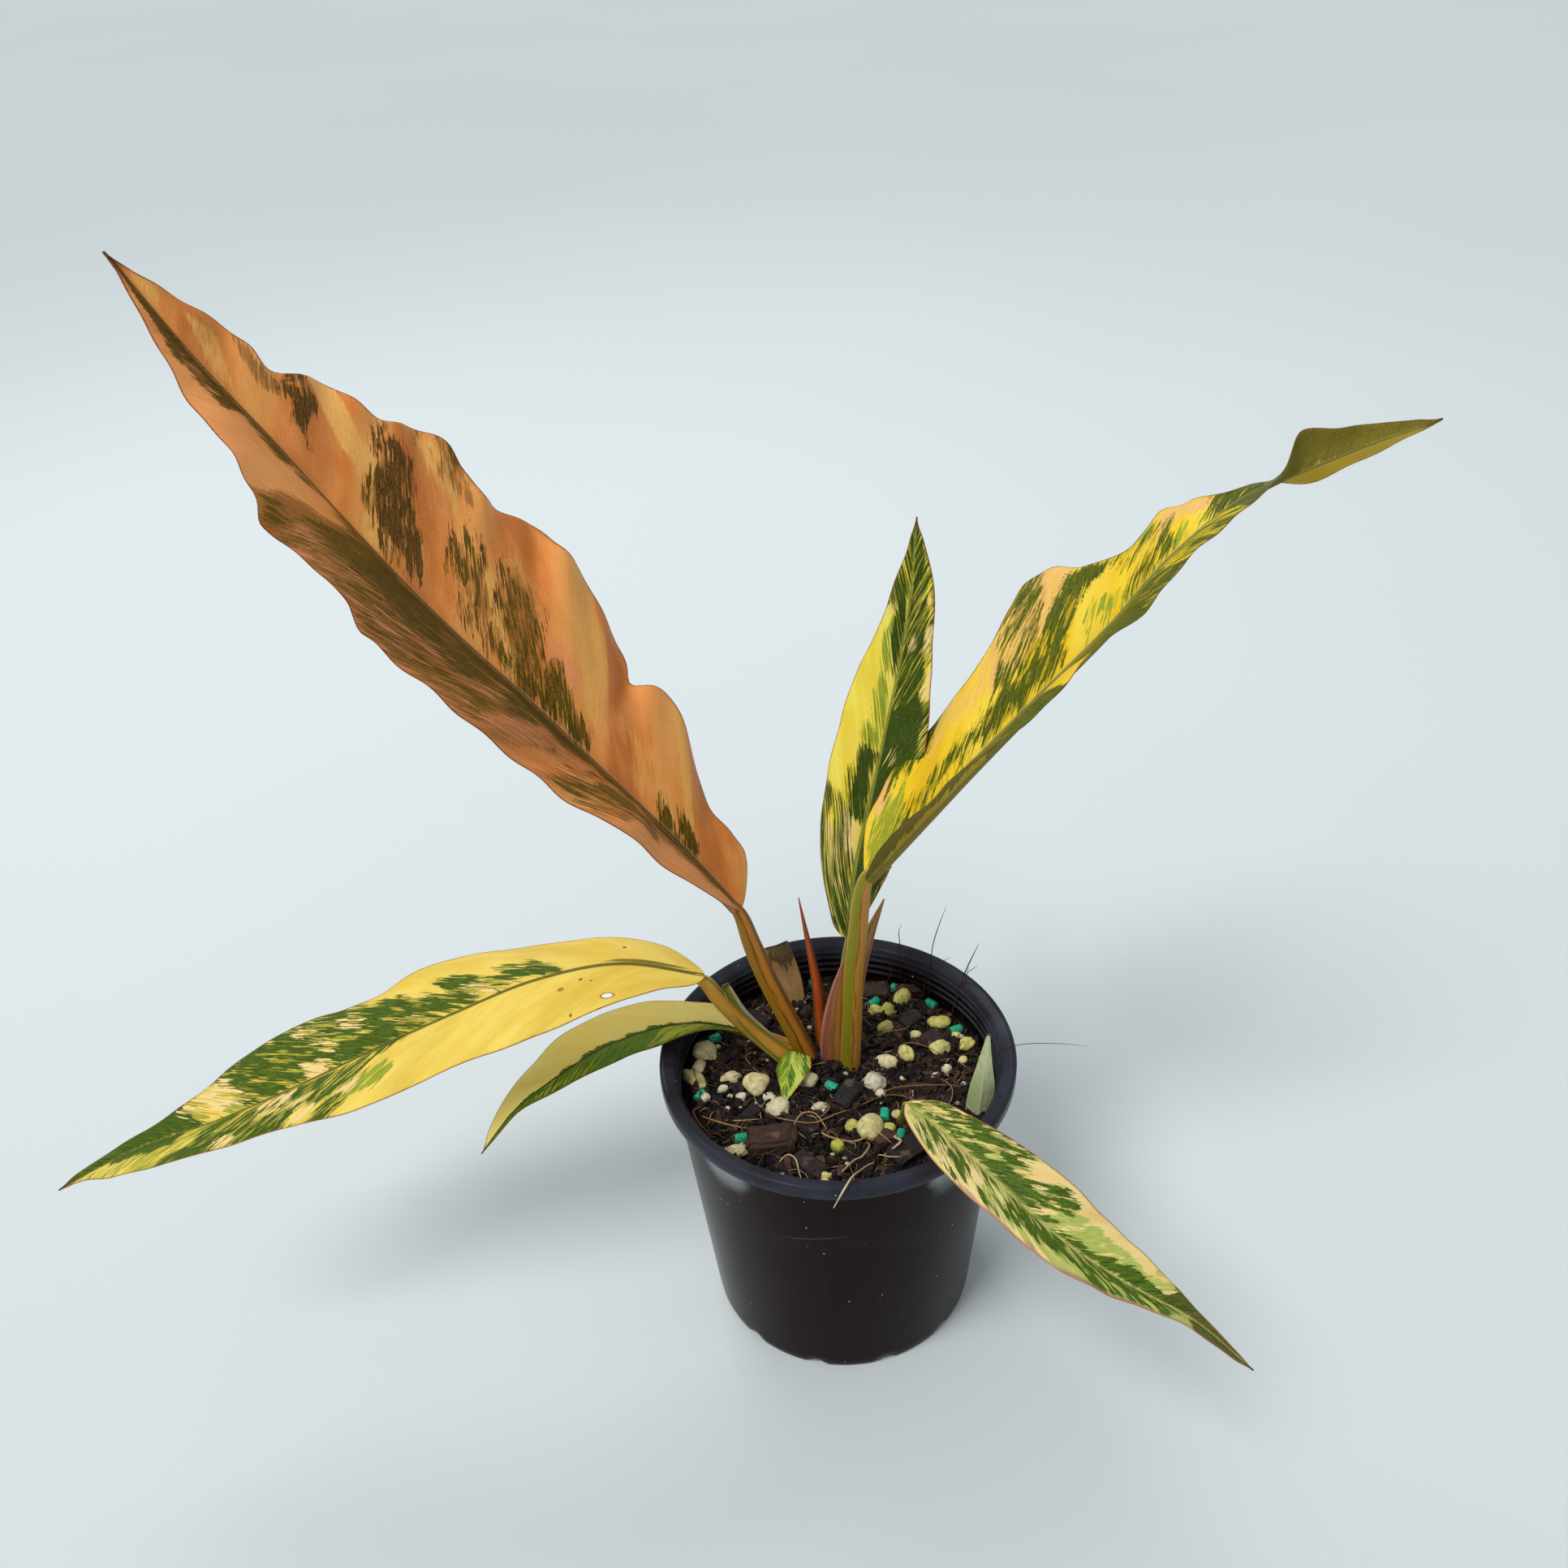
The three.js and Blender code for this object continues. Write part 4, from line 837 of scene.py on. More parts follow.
LEAF_4_LAYERS = [
    layer("lime", MID_GREEN, patches=[
        (105, 121, -0.72, -0.35, 0.75), (190, 246, -1, -0.4, 0.5), (62, 76, 0.3, 0.52, 0.55),
        (160, 195, -1, 1, 0.5), (118, 160, -1, 1, 0.5),
    ]),
    layer("green", DARK_GREEN, halo=0.6, patches=[
        (50, 64, 0.06, 0.48, 0.72), (62, 92, 0.05, 0.42, 0.58), (72, 84, 0.3, 0.62, 0.85),
        (88, 120, 0.05, 0.5, 0.78), (96, 125, 0.4, 0.85, 0.72, 15), (105, 132, 0.55, 1, 0.68),
        (108, 132, 0.02, 0.4, 0.95), (130, 172, 0.02, 1, 0.72), (165, 190, 0.1, 1, 0.42),
        (188, 250, 0, 1, 0.95), (110, 122, -0.1, 0.06, 0.9), (118, 130, -1, -0.6, 0.7),
        (118, 148, -0.62, -0.03, 0.62), (140, 182, -1, -0.45, 0.7), (145, 184, -0.5, -0.02, 0.74),
        (174, 190, -1, -0.65, 0.72), (194, 222, -0.44, 0, 0.95), (222, 244, -0.2, 0, 0.8),
    ]),
    layer("spots", CREAM, patches=[
        (99, 107, 0.12, 0.26, 0.8), (72, 80, 0.12, 0.34, 0.6), (90, 97, 0.44, 0.62, 0.8),
        (126, 135, 0.7, 0.92, 0.6), (138, 147, 0.02, 0.2, 0.85), (114, 122, 0.55, 0.8, 0.5),
        (130, 136, 0.2, 0.7, 0.45), (168, 192, 0.1, 0.97, 0.5), (118, 124, -0.64, -0.48, 0.8),
        (132, 142, -0.97, -0.6, 0.6), (152, 162, -0.32, -0.1, 0.6), (163, 172, -1, -0.72, 0.6),
        (140, 160, -0.62, -0.3, 0.42),
    ]),
]

LEAF_5 = Blade(
    midrib=[(-33, 20, 109), (-50, 17, 117), (-67, 12, 120), (-86, 4, 119), (-103, -5, 114),
            (-118, -12, 106), (-131, -20, 93)],
    left=[2, 3, 5, 7.5, 9.5, 9, 9.5, 8, 6.5, 4, 2, 1.5, 0.5],
    right=[7.5, 10.5, 11, 12.5, 15, 15.5, 15, 15, 13, 11, 7.5, 4, 0.5],
    lift_left=[14, 8, 4, 4, 4], lift_right=[10, 8, 8, 8, 8], ruffle_left=(0.4, 50, 0),
    ruffle_right=(0.4, 50, 1), keel=1.2, groove=0.3)
LEAF_5_LOOK = dict(
    LOOK, seed=5, base=((255, 230, 120), (255, 242, 152)), crest=(255, 246, 176), dapple=0.08,
    rib=(56, 64, 18), rib_width=0.5, line=(200, 184, 120), line_share=0.2, margin=(120, 70, 46),
    under=(150, 130, 60), deep=(180, 150, 50))
LEAF_5_LAYERS = [
    layer("green", ((40, 92, 0), (112, 148, 8)), [(-20, 120, -1, 0.06)], fray=0.35),
    layer("lime", ((150, 158, 40), (186, 182, 60)), patches=[
        (14, 38, -0.95, 0, 0.55), (58, 70, -0.9, -0.1, 0.4), (68, 86, -0.85, -0.45, 0.52),
        (74, 82, -0.4, -0.05, 0.4),
    ]),
]

LEAF_6 = Blade(
    midrib=[(23, -27, 116), (36, -48, 119), (50, -68, 118), (66, -86, 113), (84, -99, 107),
            (104, -110, 101), (122, -118, 86)],
    left=[2, 8, 10.5, 13, 15.5, 16.5, 17.5, 17, 16, 13.5, 10.5, 6.5, 2.5, 1.2, 0.5],
    right=[3, 8, 11, 12.5, 13.5, 13, 11.5, 11.5, 11, 9, 6, 5, 4.5, 3, 0.5],
    lift_left=[20, 14, 10, 10, 10], lift_right=[20, 14, 12, 12, 12], ruffle_left=(0.6, 40, 0),
    ruffle_right=(0.6, 40, 2), keel=1.2, groove=0.35, lean=(1.5, 2.4))
LEAF_6_LOOK = dict(
    LOOK, seed=6, base=((245, 210, 132), (250, 226, 156)), crest=(252, 236, 176), streak=(1.5, 3.2),
    blotch=(3.8, 5.2), streak_share=0.35, rib=(150, 160, 74), rib_width=0.8, rib_share=0.6,
    line=(206, 200, 130), line_share=0.3, margin=(180, 106, 76), under=(170, 160, 90),
    deep=(206, 176, 96))
LEAF_6_LAYERS = [
    layer("lime", ((150, 178, 70), (190, 202, 108)), fray=0.6, edge=(0.4, 0.62), veil=0.9, patches=[
        (60, 118, -0.7, 0, 0.7), (16, 46, -0.7, -0.03, 0.66), (66, 120, 0, 1, 0.8),
        (0, 42, -1, -0.5, 0.45), (40, 80, 0, 0.92, 0.66), (0, 24, -0.5, 0.8, 0.55),
        (96, 122, -1, -0.2, 0.6),
    ]),
    layer("green", ((22, 62, 0), (84, 122, 10)), edge=(0.4, 0.48), halo=0.6, patches=[
        (0, 20, -0.97, -0.55, 0.55), (14, 36, -1, -0.5, 0.62), (0, 34, -0.5, -0.05, 0.5),
        (36, 58, -0.46, 0, 0.85), (47, 62, -0.84, -0.4, 0.68), (56, 84, -0.15, 0, 0.8),
        (84, 118, -0.4, 0, 0.85, -25), (34, 42, -0.8, -0.4, 0.5), (8, 30, 0.1, 0.9, 0.45),
        (22, 34, 0.05, 0.72, 0.7), (34, 48, 0, 0.3, 0.6), (40, 50, 0.5, 0.85, 0.45),
        (50, 80, 0, 0.6, 0.66), (78, 116, 0, 0.5, 0.75), (80, 110, 0.4, 0.9, 0.5),
    ]),
    layer("tail", ((34, 58, 6), (84, 94, 18)), [(108, 160, -1, 0), (119, 160, 0, 1)], veil=0.95),
    layer("flush", ((150, 96, 104), (176, 120, 116)), fray=0.4, edge=(0.3, 0.7), veil=0.7, patches=[
        (30, 118, 0.86, 1, 0.8),
    ]),
]

LEAF_7 = Blade(
    midrib=[(-16.6, 7, 110), (-18, 0.5, 109), (-19.4, -6, 106.5), (-20.6, -12, 102)],
    left=[7.4, 8.4, 6.6, 4, 0.5], right=[7, 8, 6, 3, 0.5], lift_left=[-14, -14],
    lift_right=[-44, -44], curl=6, keel=0.3, rounded=False, groove=0.1, quilt=0.03)
LEAF_8 = Blade(
    midrib=[(49, -21, 96), (50, -20.5, 110), (51, -19.5, 124), (52, -18.5, 138)],
    up=(-0.1, -1, 0.3), left=[4.5, 5, 4.5, 3.2, 1.8, 0.5], right=[3, 4.8, 5, 3.4, 1.8, 0.5],
    lift_left=[-14, -14], lift_right=[-16, -16], curl=4, keel=0.3, rounded=False, groove=-0.15,
    quilt=0.02)
LEAF_7_LOOK = dict(
    LEAF_6_LOOK, seed=7, base=((192, 208, 62), (218, 226, 110)), rib=(96, 140, 30), rib_width=0.4,
    rib_share=0.6)
LEAF_8_LOOK = dict(
    LEAF_6_LOOK, seed=8, base=((190, 204, 150), (212, 220, 176)), rib=(222, 226, 190), rib_width=0.3,
    rib_share=0.6, margin=(200, 200, 150), deep=(150, 176, 120))
LEAF_7_LAYERS = [
    layer("lime", ((92, 132, 26), (140, 168, 52)), [(-20, 30, 0, 1, 0.75), (-20, 30, -0.4, 0, 0.4)]),
    layer("green", ((50, 104, 14), (92, 140, 34)), halo=0.5, patches=[
        (-20, 4, -1, -0.1, 0.5), (6, 18, -0.5, -0.05, 0.6), (-20, 8, 0, 1, 0.5), (4, 22, 0.1, 0.6, 0.4),
    ]),
]
LEAF_8_LAYERS = [
    layer("lime", ((160, 184, 108), (184, 202, 136)), [(-20, 60, -1, 1, 0.42)], veil=0.6),
    layer("pale", ((226, 228, 190), (236, 236, 206)), [(4, 40, 0.1, 0.4, 0.6)], veil=0.6),
]

# Name, blade, look, layers, slot, spacing of the rows in millimetres, and even columns a side
LEAVES = [
    ("leaf_1", LEAF_1, LEAF_1_LOOK, LEAF_1_LAYERS, "leaf_caramel", 1.6, 24),
    ("leaf_2", LEAF_2, LEAF_2_LOOK, LEAF_2_LAYERS, "leaf_yellow", 1.5, 20),
    ("leaf_3", LEAF_3, LEAF_3_LOOK, LEAF_3_LAYERS, "leaf_green", 1.3, 16),
    ("leaf_4", LEAF_4, LEAF_4_LOOK, LEAF_4_LAYERS, "leaf_yellow", 1.5, 20),
    ("leaf_5", LEAF_5, LEAF_5_LOOK, LEAF_5_LAYERS, "leaf_green", 1.2, 14),
    ("leaf_6", LEAF_6, LEAF_6_LOOK, LEAF_6_LAYERS, "leaf_marbled", 1.2, 16),
    ("leaf_7_small", LEAF_7, LEAF_7_LOOK, LEAF_7_LAYERS, "leaf_marbled", 0.6, 10),
    ("leaf_8_small", LEAF_8, LEAF_8_LOOK, LEAF_8_LAYERS, "leaf_marbled", 0.8, 10),
]


def add_blade(names, blade, look, layers, slot, nodes, spacing, columns):
    """Adds a blade as a piece. Names are those of the piece, its mesh and its material."""
    piece, data, skin = names
    material = leaf_material(skin, look, layers, blade.length)
    mesh = blade.mesh(data, material, layers, look["seed"] * 10, spacing, columns)
    add_piece(piece, mesh, slot, *nodes)


def add_leaves():
    for name, blade, look, layers, slot, spacing, columns in LEAVES:
        names = (f"{name}_blade", name, f"{name}_skin")
        add_blade(names, blade, look, layers, slot, [name], spacing, columns)


# Stalks

# Stripes are an angle round the stalk and a half width, in degrees, and an ink. Sink is how deep
# the neck starts under the leaf, as a share of the radius.
STALKS = {
    "petiole_1": dict(
        slot="stalk_brown", leaf=LEAF_1, sink=0.4, ink=((184, 112, 22), (206, 138, 40)),
        path=[(-7.6, 12, 92), (-10.3, 12.6, 100), (-15.2, 13, 114.4), (-20, 13, 128.1),
              (-24.8, 13.3, 142.2), (-28.8, 13.6, 156.3), (-32.6, 14, 171)],
        radii=[(3.6, 3.6), (3.8, 3.6), (3.8, 3.4), (3.7, 3.2), (3.6, 3), (3.3, 2.7), (2.7, 2.3)],
        stripes=[(226, 52, (150, 114, 10)), (272, 6, (120, 66, 20)), (202, 8, (150, 90, 34)),
                 (250, 5, (160, 116, 30)), (342, 18, (112, 80, 40))]),
    "petiole_2": dict(
        slot="stalk_green", leaf=LEAF_2, sink=0, ink=((188, 128, 44), (208, 148, 62)),
        path=[(5, 8, 92), (5.3, 8, 107), (6, 8, 122.5), (6.9, 8.4, 143), (8.8, 9, 163), (11.2, 9, 187)],
        radii=[(3.6, 3.6), (3.7, 3.6), (3.7, 3.5), (3.5, 3.2), (3.4, 3), (3.1, 2.6)],
        stripes=[(192, 8, (178, 172, 90)), (236, 32, (122, 132, 8)), (276, 6, (140, 100, 24)),
                 (348, 12, (150, 120, 40)), (90, 50, (110, 110, 30))]),
    "petiole_3": dict(
        slot="stalk_green", leaf=LEAF_3, ink=((170, 150, 60), (190, 170, 80)),
        path=[(2.5, 17, 92), (2.8, 17.8, 108), (3.6, 19, 124), (4.9, 20.6, 138), (6, 22, 150.5)],
        radii=[(2.2, 2.2), (2.2, 2.2), (2.1, 2.1), (2, 2), (1.8, 1.8)],
        stripes=[(230, 30, (90, 110, 30)), (320, 20, (120, 90, 40))]),
    "petiole_4": dict(
        slot="stalk_brown", leaf=LEAF_4, ink=((212, 150, 54), (228, 172, 74)),
        path=[(-10.5, 13.4, 93), (-15.2, 12.9, 99.5), (-21.4, 12, 105.8), (-30, 11, 116.6),
              (-36.8, 9, 127.9), (-42, 7, 138.2), (-46, 5, 150.2)],
        radii=[(3.6, 3.6), (3.6, 3.6), (3.5, 3.5), (3.4, 3.3), (3.2, 3.1), (3, 2.9), (2.8, 2.4)],
        stripes=[(352, 20, (134, 134, 20)), (212, 14, (200, 138, 58))]),
    "petiole_5": dict(
        slot="stalk_brown", leaf=LEAF_5, ink=((180, 130, 60), (196, 150, 80)),
        path=[(-8, 18, 92), (-12, 18.7, 98), (-18, 19.4, 102), (-26, 19.9, 105.8), (-33.5, 20, 109.2)],
        radii=[(1.9, 1.9), (1.9, 1.9), (1.8, 1.8), (1.8, 1.6), (1.6, 1.4)],
        stripes=[(270, 30, (110, 110, 40))]),
    "petiole_6": dict(
        slot="stalk_green", leaf=LEAF_6, ink=((150, 142, 52), (172, 160, 70)),
        path=[(21, -20, 93), (21.6, -23.4, 103), (22.4, -26, 110), (23.2, -27.2, 116)],
        radii=[(1.6, 1.6), (1.6, 1.6), (1.5, 1.5), (1.4, 1.2)],
        stripes=[(230, 40, (80, 96, 26))]),
    "sheath_pink": dict(
        slot="sheath", ink=((150, 96, 52), (182, 120, 64)),
        path=[(-1, 11.5, 92), (-1.4, 10.8, 108), (-0.6, 10.8, 122), (1.4, 11.4, 136), (4.2, 12, 149.5)],
        radii=[(4.4, 3.8), (4.6, 3.8), (3.8, 3.2), (2.4, 2.1), (0.3, 0.3)],
        # The lilac stripe at 204 degrees is a painted highlight down the sheath's side.
        stripes=[(204, 10, (170, 150, 160)), (230, 16, (134, 74, 70)), (300, 24, (188, 138, 62)),
                 (266, 10, (150, 96, 48))]),
    "spike_cataphyll": dict(
        slot="spike", ink=((168, 66, 24), (196, 88, 34)),
        path=[(-5, 17.5, 92), (-5.2, 18, 112), (-6, 18, 131), (-8.2, 18, 149), (-11.4, 18, 173.3)],
        radii=[(2.2, 2.2), (2.3, 2.1), (2, 1.8), (1.2, 1.1), (0.2, 0.2)],
        stripes=[(214, 16, (98, 76, 26)), (330, 22, (112, 34, 24)), (262, 8, (206, 104, 48))]),
    "cataphyll_narrow": dict(
        slot="sheath", ink=((186, 150, 84), (200, 164, 100)),
        path=[(7, 14, 92), (7.6, 14, 116), (9.4, 14.2, 138), (12.6, 15, 155), (18.7, 16, 172.2)],
        radii=[(2, 1.8), (2, 1.8), (2.2, 1.9), (2.2, 1.7), (0.3, 0.3)],
        stripes=[(240, 16, (140, 130, 60)), (310, 22, (170, 84, 70))]),
}
STALK_SIDES = 40
STALK_SPACING = 1.2
STALK_RIDGES = 0.05              # how far the ridges and lumps stand out, as a share of the radius
NECK_LENGTH = 9                  # how far a stalk's tapering end runs under its leaf
NECK_DEPTH = 1.0                 # of the neck's start under the leaf, as a share of the radius
STALK_FLESH = dict(Subsurface_Weight=0.1, Subsurface_Radius=(0.0015, 0.001, 0.0004),
                   Subsurface_Scale=1.0)


def tube(path, radii, sides, spacing, seed=0, ridges=0.0):
    """Rings round a smooth path, with the places along and around it."""
    length = curve_length(path)
    steps = max(int(length / spacing), 3)
    shares = np.linspace(0, 1, steps)
    centre, _, normal, side = curve_frame(path, shares, up=(1, 0, 0))
    radii = smooth(radii, shares)
    share, angle = np.meshgrid(shares, around(sides), indexing="ij")
    east, north = np.cos(angle), np.sin(angle)
    fluting = 1 + ridges * (0.5 * np.cos(3 * angle + seed) + 0.3 * np.cos(7 * angle + 2 * seed))
    lumps = 1 + ridges * 0.4 * ripple(seed + 5, share * 9, east, north)
    points = centre[:, None] + (fluting * lumps)[..., None] * (
        normal[:, None] * (radii[:, None, :1] * east[..., None])
        + side[:, None] * (radii[:, None, 1:] * north[..., None]))
    where = np.stack([share * length, east, north], axis=-1)
    return points.reshape(-1, 3), ring_faces(steps, sides), where.reshape(-1, 3)


def stalk_material(name, stalk):
    """Fleshy skin with soft stripes along it, one of them a painted highlight on the pink sheath, and
    fine freckles.
    """
    shader = Shader(name)
    along, east, north = shader.split(shader.attribute("where", "Vector"))
    streak = shader.noise(shader.join(along * 0.035, east * 2.2, north * 2.2), 2.6, 3.0, 0.6)
    fine = shader.noise(shader.join(along * 0.12, east * 9.0, north * 9.0), 1.6)
    colour = shader.mix(streak, *stalk["ink"])
    for angle, half, ink in stalk["stripes"]:
        turn = math.radians(angle)
        facing = east * math.cos(turn) + north * math.sin(turn)
        inner = math.cos(math.radians(half * 0.55))
        outer = math.cos(math.radians(half * 1.35))
        stripe = (facing + (streak - 0.5) * 0.22).step(outer, inner)
        colour = colour.tinted(stripe * 0.85, ink)
    freckle = shader.noise(shader.place(), 900.0, 1.0).step(0.68, 0.76)
    colour = colour.tinted(freckle * 0.35, (112, 66, 34))
    colour = colour.tinted(fine.step(0.5, 0.8) * 0.25, (96, 60, 28))
    return shader.finish(Base_Color=colour, Roughness=streak * 0.15 + 0.34, Specular_IOR_Level=0.4,
                         Normal=shader.bump(fine, 0.0004, 0.5), **STALK_FLESH)


def with_neck(stalk, blade):
    """A stalk's path and radii, run in under the start of its leaf's midrib to a taper."""
    share = np.array([0.0, NECK_LENGTH / blade.length])
    centre, _, normal, _ = curve_frame(blade.midrib, share, blade.up, blade.roll)
    last = np.array(stalk["radii"][-1])
    drops = [last.max() * stalk.get("sink", NECK_DEPTH), blade.keel + last.max() * 0.3]
    below = centre - normal * np.array(drops)[:, None]
    path = stalk["path"][:-1] + [tuple(point) for point in below]
    radii = stalk["radii"][:-1] + [tuple(last * 0.85), tuple(last * 0.25)]
    return path, radii


def add_stalks():
    for seed, (name, stalk) in enumerate(STALKS.items()):
        path, radii = stalk["path"], stalk["radii"]
        if "leaf" in stalk:
            path, radii = with_neck(stalk, stalk["leaf"])
        points, faces, where = tube(path, radii, STALK_SIDES, STALK_SPACING, seed, STALK_RIDGES)
        material = stalk_material(f"{name}_skin", stalk)
        mesh = new_mesh(name, points, faces, material, True, {"where": where})
        add_piece(f"{name}_stalk", mesh, stalk["slot"], name)


# The open sheath on the fourth stalk, and the dried sheath at the rear wall

STALK_SHEATH = Blade(
    midrib=[(-13, 10.6, 97), (-20, 10.6, 104), (-28, 10, 115), (-34.8, 8.6, 127),
            (-39.8, 7.4, 143)],
    up=(0.6, -0.5, 0.5), left=[3.6, 4.2, 4, 3.4, 1.2], right=[3.2, 3.8, 3.8, 3.4, 2.2],
    lift_left=[24, 24], lift_right=[30, 30], curl=0, keel=1.4, rounded=False, groove=0.1, quilt=0)
SHEATH_DRY = Blade(
    midrib=[(-13.5, 41, 95), (-15.4, 45.5, 105), (-17.8, 49.6, 113.6), (-20.6, 52, 123.2)],
    up=(0, -1, 0.3), left=[4.5, 5.4, 5.8, 5.6, 5.2], right=[3.6, 4.6, 5.2, 5.2, 4.8],
    lift_left=[-12, -12], lift_right=[-18, -18], curl=0, keel=0.2, rounded=False, groove=0.1,
    quilt=0)
SHEATH_GREEN_LOOK = dict(
    LEAF_6_LOOK, seed=11, base=((124, 130, 10), (146, 148, 30)), rib=(112, 118, 6), rib_share=0.2,
    line_share=0, margin=(176, 172, 110), margin_width=0.4, streak=(9, 0.8), blotch=(12, 2),
    deep=(96, 104, 10), dapple=0.1)
SHEATH_DRY_LOOK = dict(
    LEAF_6_LOOK, seed=12, base=((150, 116, 70), (184, 150, 100)), rib=(130, 100, 62), rib_share=0.2,
    margin=(120, 96, 60), streak=(9, 0.8), blotch=(12, 2), line_share=0, deep=(110, 80, 48),
    under=(120, 90, 60), roughness=0.75)
STALK_SHEATH_LAYERS = [
    layer("edge", ((196, 176, 190), (214, 200, 206)), [(-20, 80, 0.6, 1, 0.9)], fray=0.3, veil=0.7),
]
SHEATH_DRY_LAYERS = [
    layer("dark", ((74, 60, 40), (96, 80, 56)), [(19, 25, -1, 1)], veil=0.85),
    layer("rim", ((104, 92, 60), (124, 108, 76)), [(25, 40, -1, 1)], veil=0.8),
]


def add_sheaths():
    names = ("petiole_4_sheath", "petiole_4_sheath", "stalk_sheath_skin")
    add_blade(names, STALK_SHEATH, SHEATH_GREEN_LOOK, STALK_SHEATH_LAYERS, "stalk_green", [],
              spacing=1.0, columns=10)
    names = ("sheath_dry_scale", "sheath_dry", "sheath_dry_skin")
    add_blade(names, SHEATH_DRY, SHEATH_DRY_LOOK, SHEATH_DRY_LAYERS, "dry", ["sheath_dry"],
              spacing=0.8, columns=12)


# Pot

POT_HEIGHT = 116.2
RIM_BAND = 6
WALL_TOP_RADIUS = 60.4
BASE_RADIUS = 50.5
WALL = 1.5
FLOOR = 2
AXIS_RADIUS = 0.01               # of the rings that close the floor
DRAIN_COUNT = 12
DRAIN_HEIGHT = 4.4
DRAIN_HALF_WIDTH = 3.9
DRAIN_FADE = 9                   # height at which the notches would have no effect
RIM_PROFILE = [                  # radius and height, from the outside over the top
    (60.45, 108.2), (60.9, 109.4), (62.0, 110.0), (63.6, 110.1), (64.6, 110.5), (65.0, 111.3),
    (65.0, 113.2), (65.0, 115.0), (64.7, 115.8), (64.0, 116.2), (63.0, 116.15), (62.4, 115.9),
    (61.2, 115.3), (60.2, 114.9), (59.7, 114.5),
]
RIDGE_HEIGHTS = (112.2, 109.4, 106.6, 103.8)
RIDGE_PROFILE = [(0, 1.2), (0.15, 0.6), (0.6, 0.3), (0.6, -0.3), (0.15, -0.6)]
POT_SEGMENTS = 288
WALL_GAP = 0.2                   # that the soil and its litter keep from the pot's wall
WALL_REACH = 6                   # points further out than this are meant to stand over the rim

# Near black, warmed to brown-black as a painted reflection of dark wood.
POT_TONES = ((16, 6, 5), (34, 17, 14))
DUST_PATCHES = [(2.36, 0.26), (0.93, 0.3)]       # clockwise from +X, and half width, in radians
DUST_RISE = (0.088, 0.108)       # heights in metres over which the dust comes, and goes at the rim
DUST_STOP = (0.1112, 0.1098)
DUST_INK = (160, 168, 172)
# Painted sheen on the rim band, lighter blue-grey.
RIM_SHEEN_START = (0.1096, 0.1104)
RIM_SHEEN_INK = (62, 67, 80)
SCRATCH_PLACE = (1.78, 0.1035)   # clockwise from +X in radians, and height in metres
SCRATCH_SLOPE = -0.012
SCRATCH_EDGE = (0.0004, 0.0001)
SCRATCH_INK = (110, 112, 118)
INSIDE_RADIUS = (0.0594, 0.059)  # where painted highlights go on the wall's inner ridges, in metres
INSIDE_HEIGHT = (0.1015, 0.103)
RIDGE_PITCH = 0.0028
RIDGE_HIGHLIGHT_INK = (52, 62, 74)
SPECK_INK = (190, 186, 180)


def wall_radius(height):
    return BASE_RADIUS + (WALL_TOP_RADIUS - BASE_RADIUS) * height / (POT_HEIGHT - RIM_BAND - 2)


def inside_wall(points):
    """Points of the litter, with those that reach into the pot's wall drawn back from it."""
    radius = np.hypot(points[:, 0], points[:, 1])
    limit = wall_radius(points[:, 2]) - WALL - WALL_GAP
    reach = (points[:, 2] < POT_HEIGHT - 1) & (radius > limit) & (radius < limit + WALL_REACH)
    share = np.where(reach, limit / np.maximum(radius, 1), 1)[:, None]
    return points * np.hstack([share, share, np.ones_like(share)])


def pot_material():
    """Black moulded plastic, satin, with dust under the rim, fine drag marks and specks. Its brown warmth
    is a painted reflection of dark wood, and the rim band and inner ridges carry painted highlights.
    """
    shader = Shader("pot_black")
    place = shader.place()
    x, y, z = shader.split(place)
    bearing = shader.math("ARCTAN2", y, x)
    drag = shader.noise(shader.join(bearing * 38.0, z * 5.0), 1.0, 3.0, 0.6)
    haze = shader.noise(shader.join(bearing * 2.4, z * 46.0, 2.0), 1.0, 4.0, 0.6)
    # Near black, with a brown warmth that is a painted reflection.
    colour = shader.mix(drag, *POT_TONES)

    band = z.step(*DUST_RISE) * z.step(*DUST_STOP)
    left, right = [abs(bearing + angle).step(half, 0.08) for angle, half in DUST_PATCHES]
    patch = (left + right) * band
    dust = (haze + patch * 0.5).step(0.5, 0.78) * (patch * 0.9 + 0.012)
    colour = colour.tinted(dust, DUST_INK)
    # Painted sheen: the rim band turns lighter blue-grey, broken up by the haze.
    rim = z.step(*RIM_SHEEN_START) * haze.step(0.2, 0.6)
    colour = colour.tinted(rim * 0.62, RIM_SHEEN_INK)

    angle, height = SCRATCH_PLACE
    near = abs(bearing + angle).step(0.22, 0.1)
    scratch = abs(z + bearing * SCRATCH_SLOPE - height).step(*SCRATCH_EDGE) * near
    colour = colour.tinted(scratch * 0.3, SCRATCH_INK)

    # Painted highlights on the crests of the inner wall's ridges.
    crest = shader.math("SINE", z * (CIRCLE / RIDGE_PITCH)).step(0.2, 0.9)
    inside = shader.distance(x, y).step(*INSIDE_RADIUS) * z.step(*INSIDE_HEIGHT)
    ridge_highlight = crest * inside * haze.step(0.3, 0.6)
    colour = colour.tinted(ridge_highlight * 0.8, RIDGE_HIGHLIGHT_INK)
    speck = shader.cells(place, 190.0).step(0.075, 0.05)
    rare = shader.noise(place, 60.0, 0.0).step(0.53, 0.57)
    colour = colour.tinted(speck * rare * 0.7, SPECK_INK)

    grain = shader.noise(place, 1500.0)
    gloss = drag * 0.12 + (dust * 0.4 + 0.16)
    return shader.finish(Base_Color=colour, Roughness=gloss, Specular_IOR_Level=0.06,
                         Normal=shader.bump(drag * 0.7 + grain * 0.3, 0.00012, 0.5))


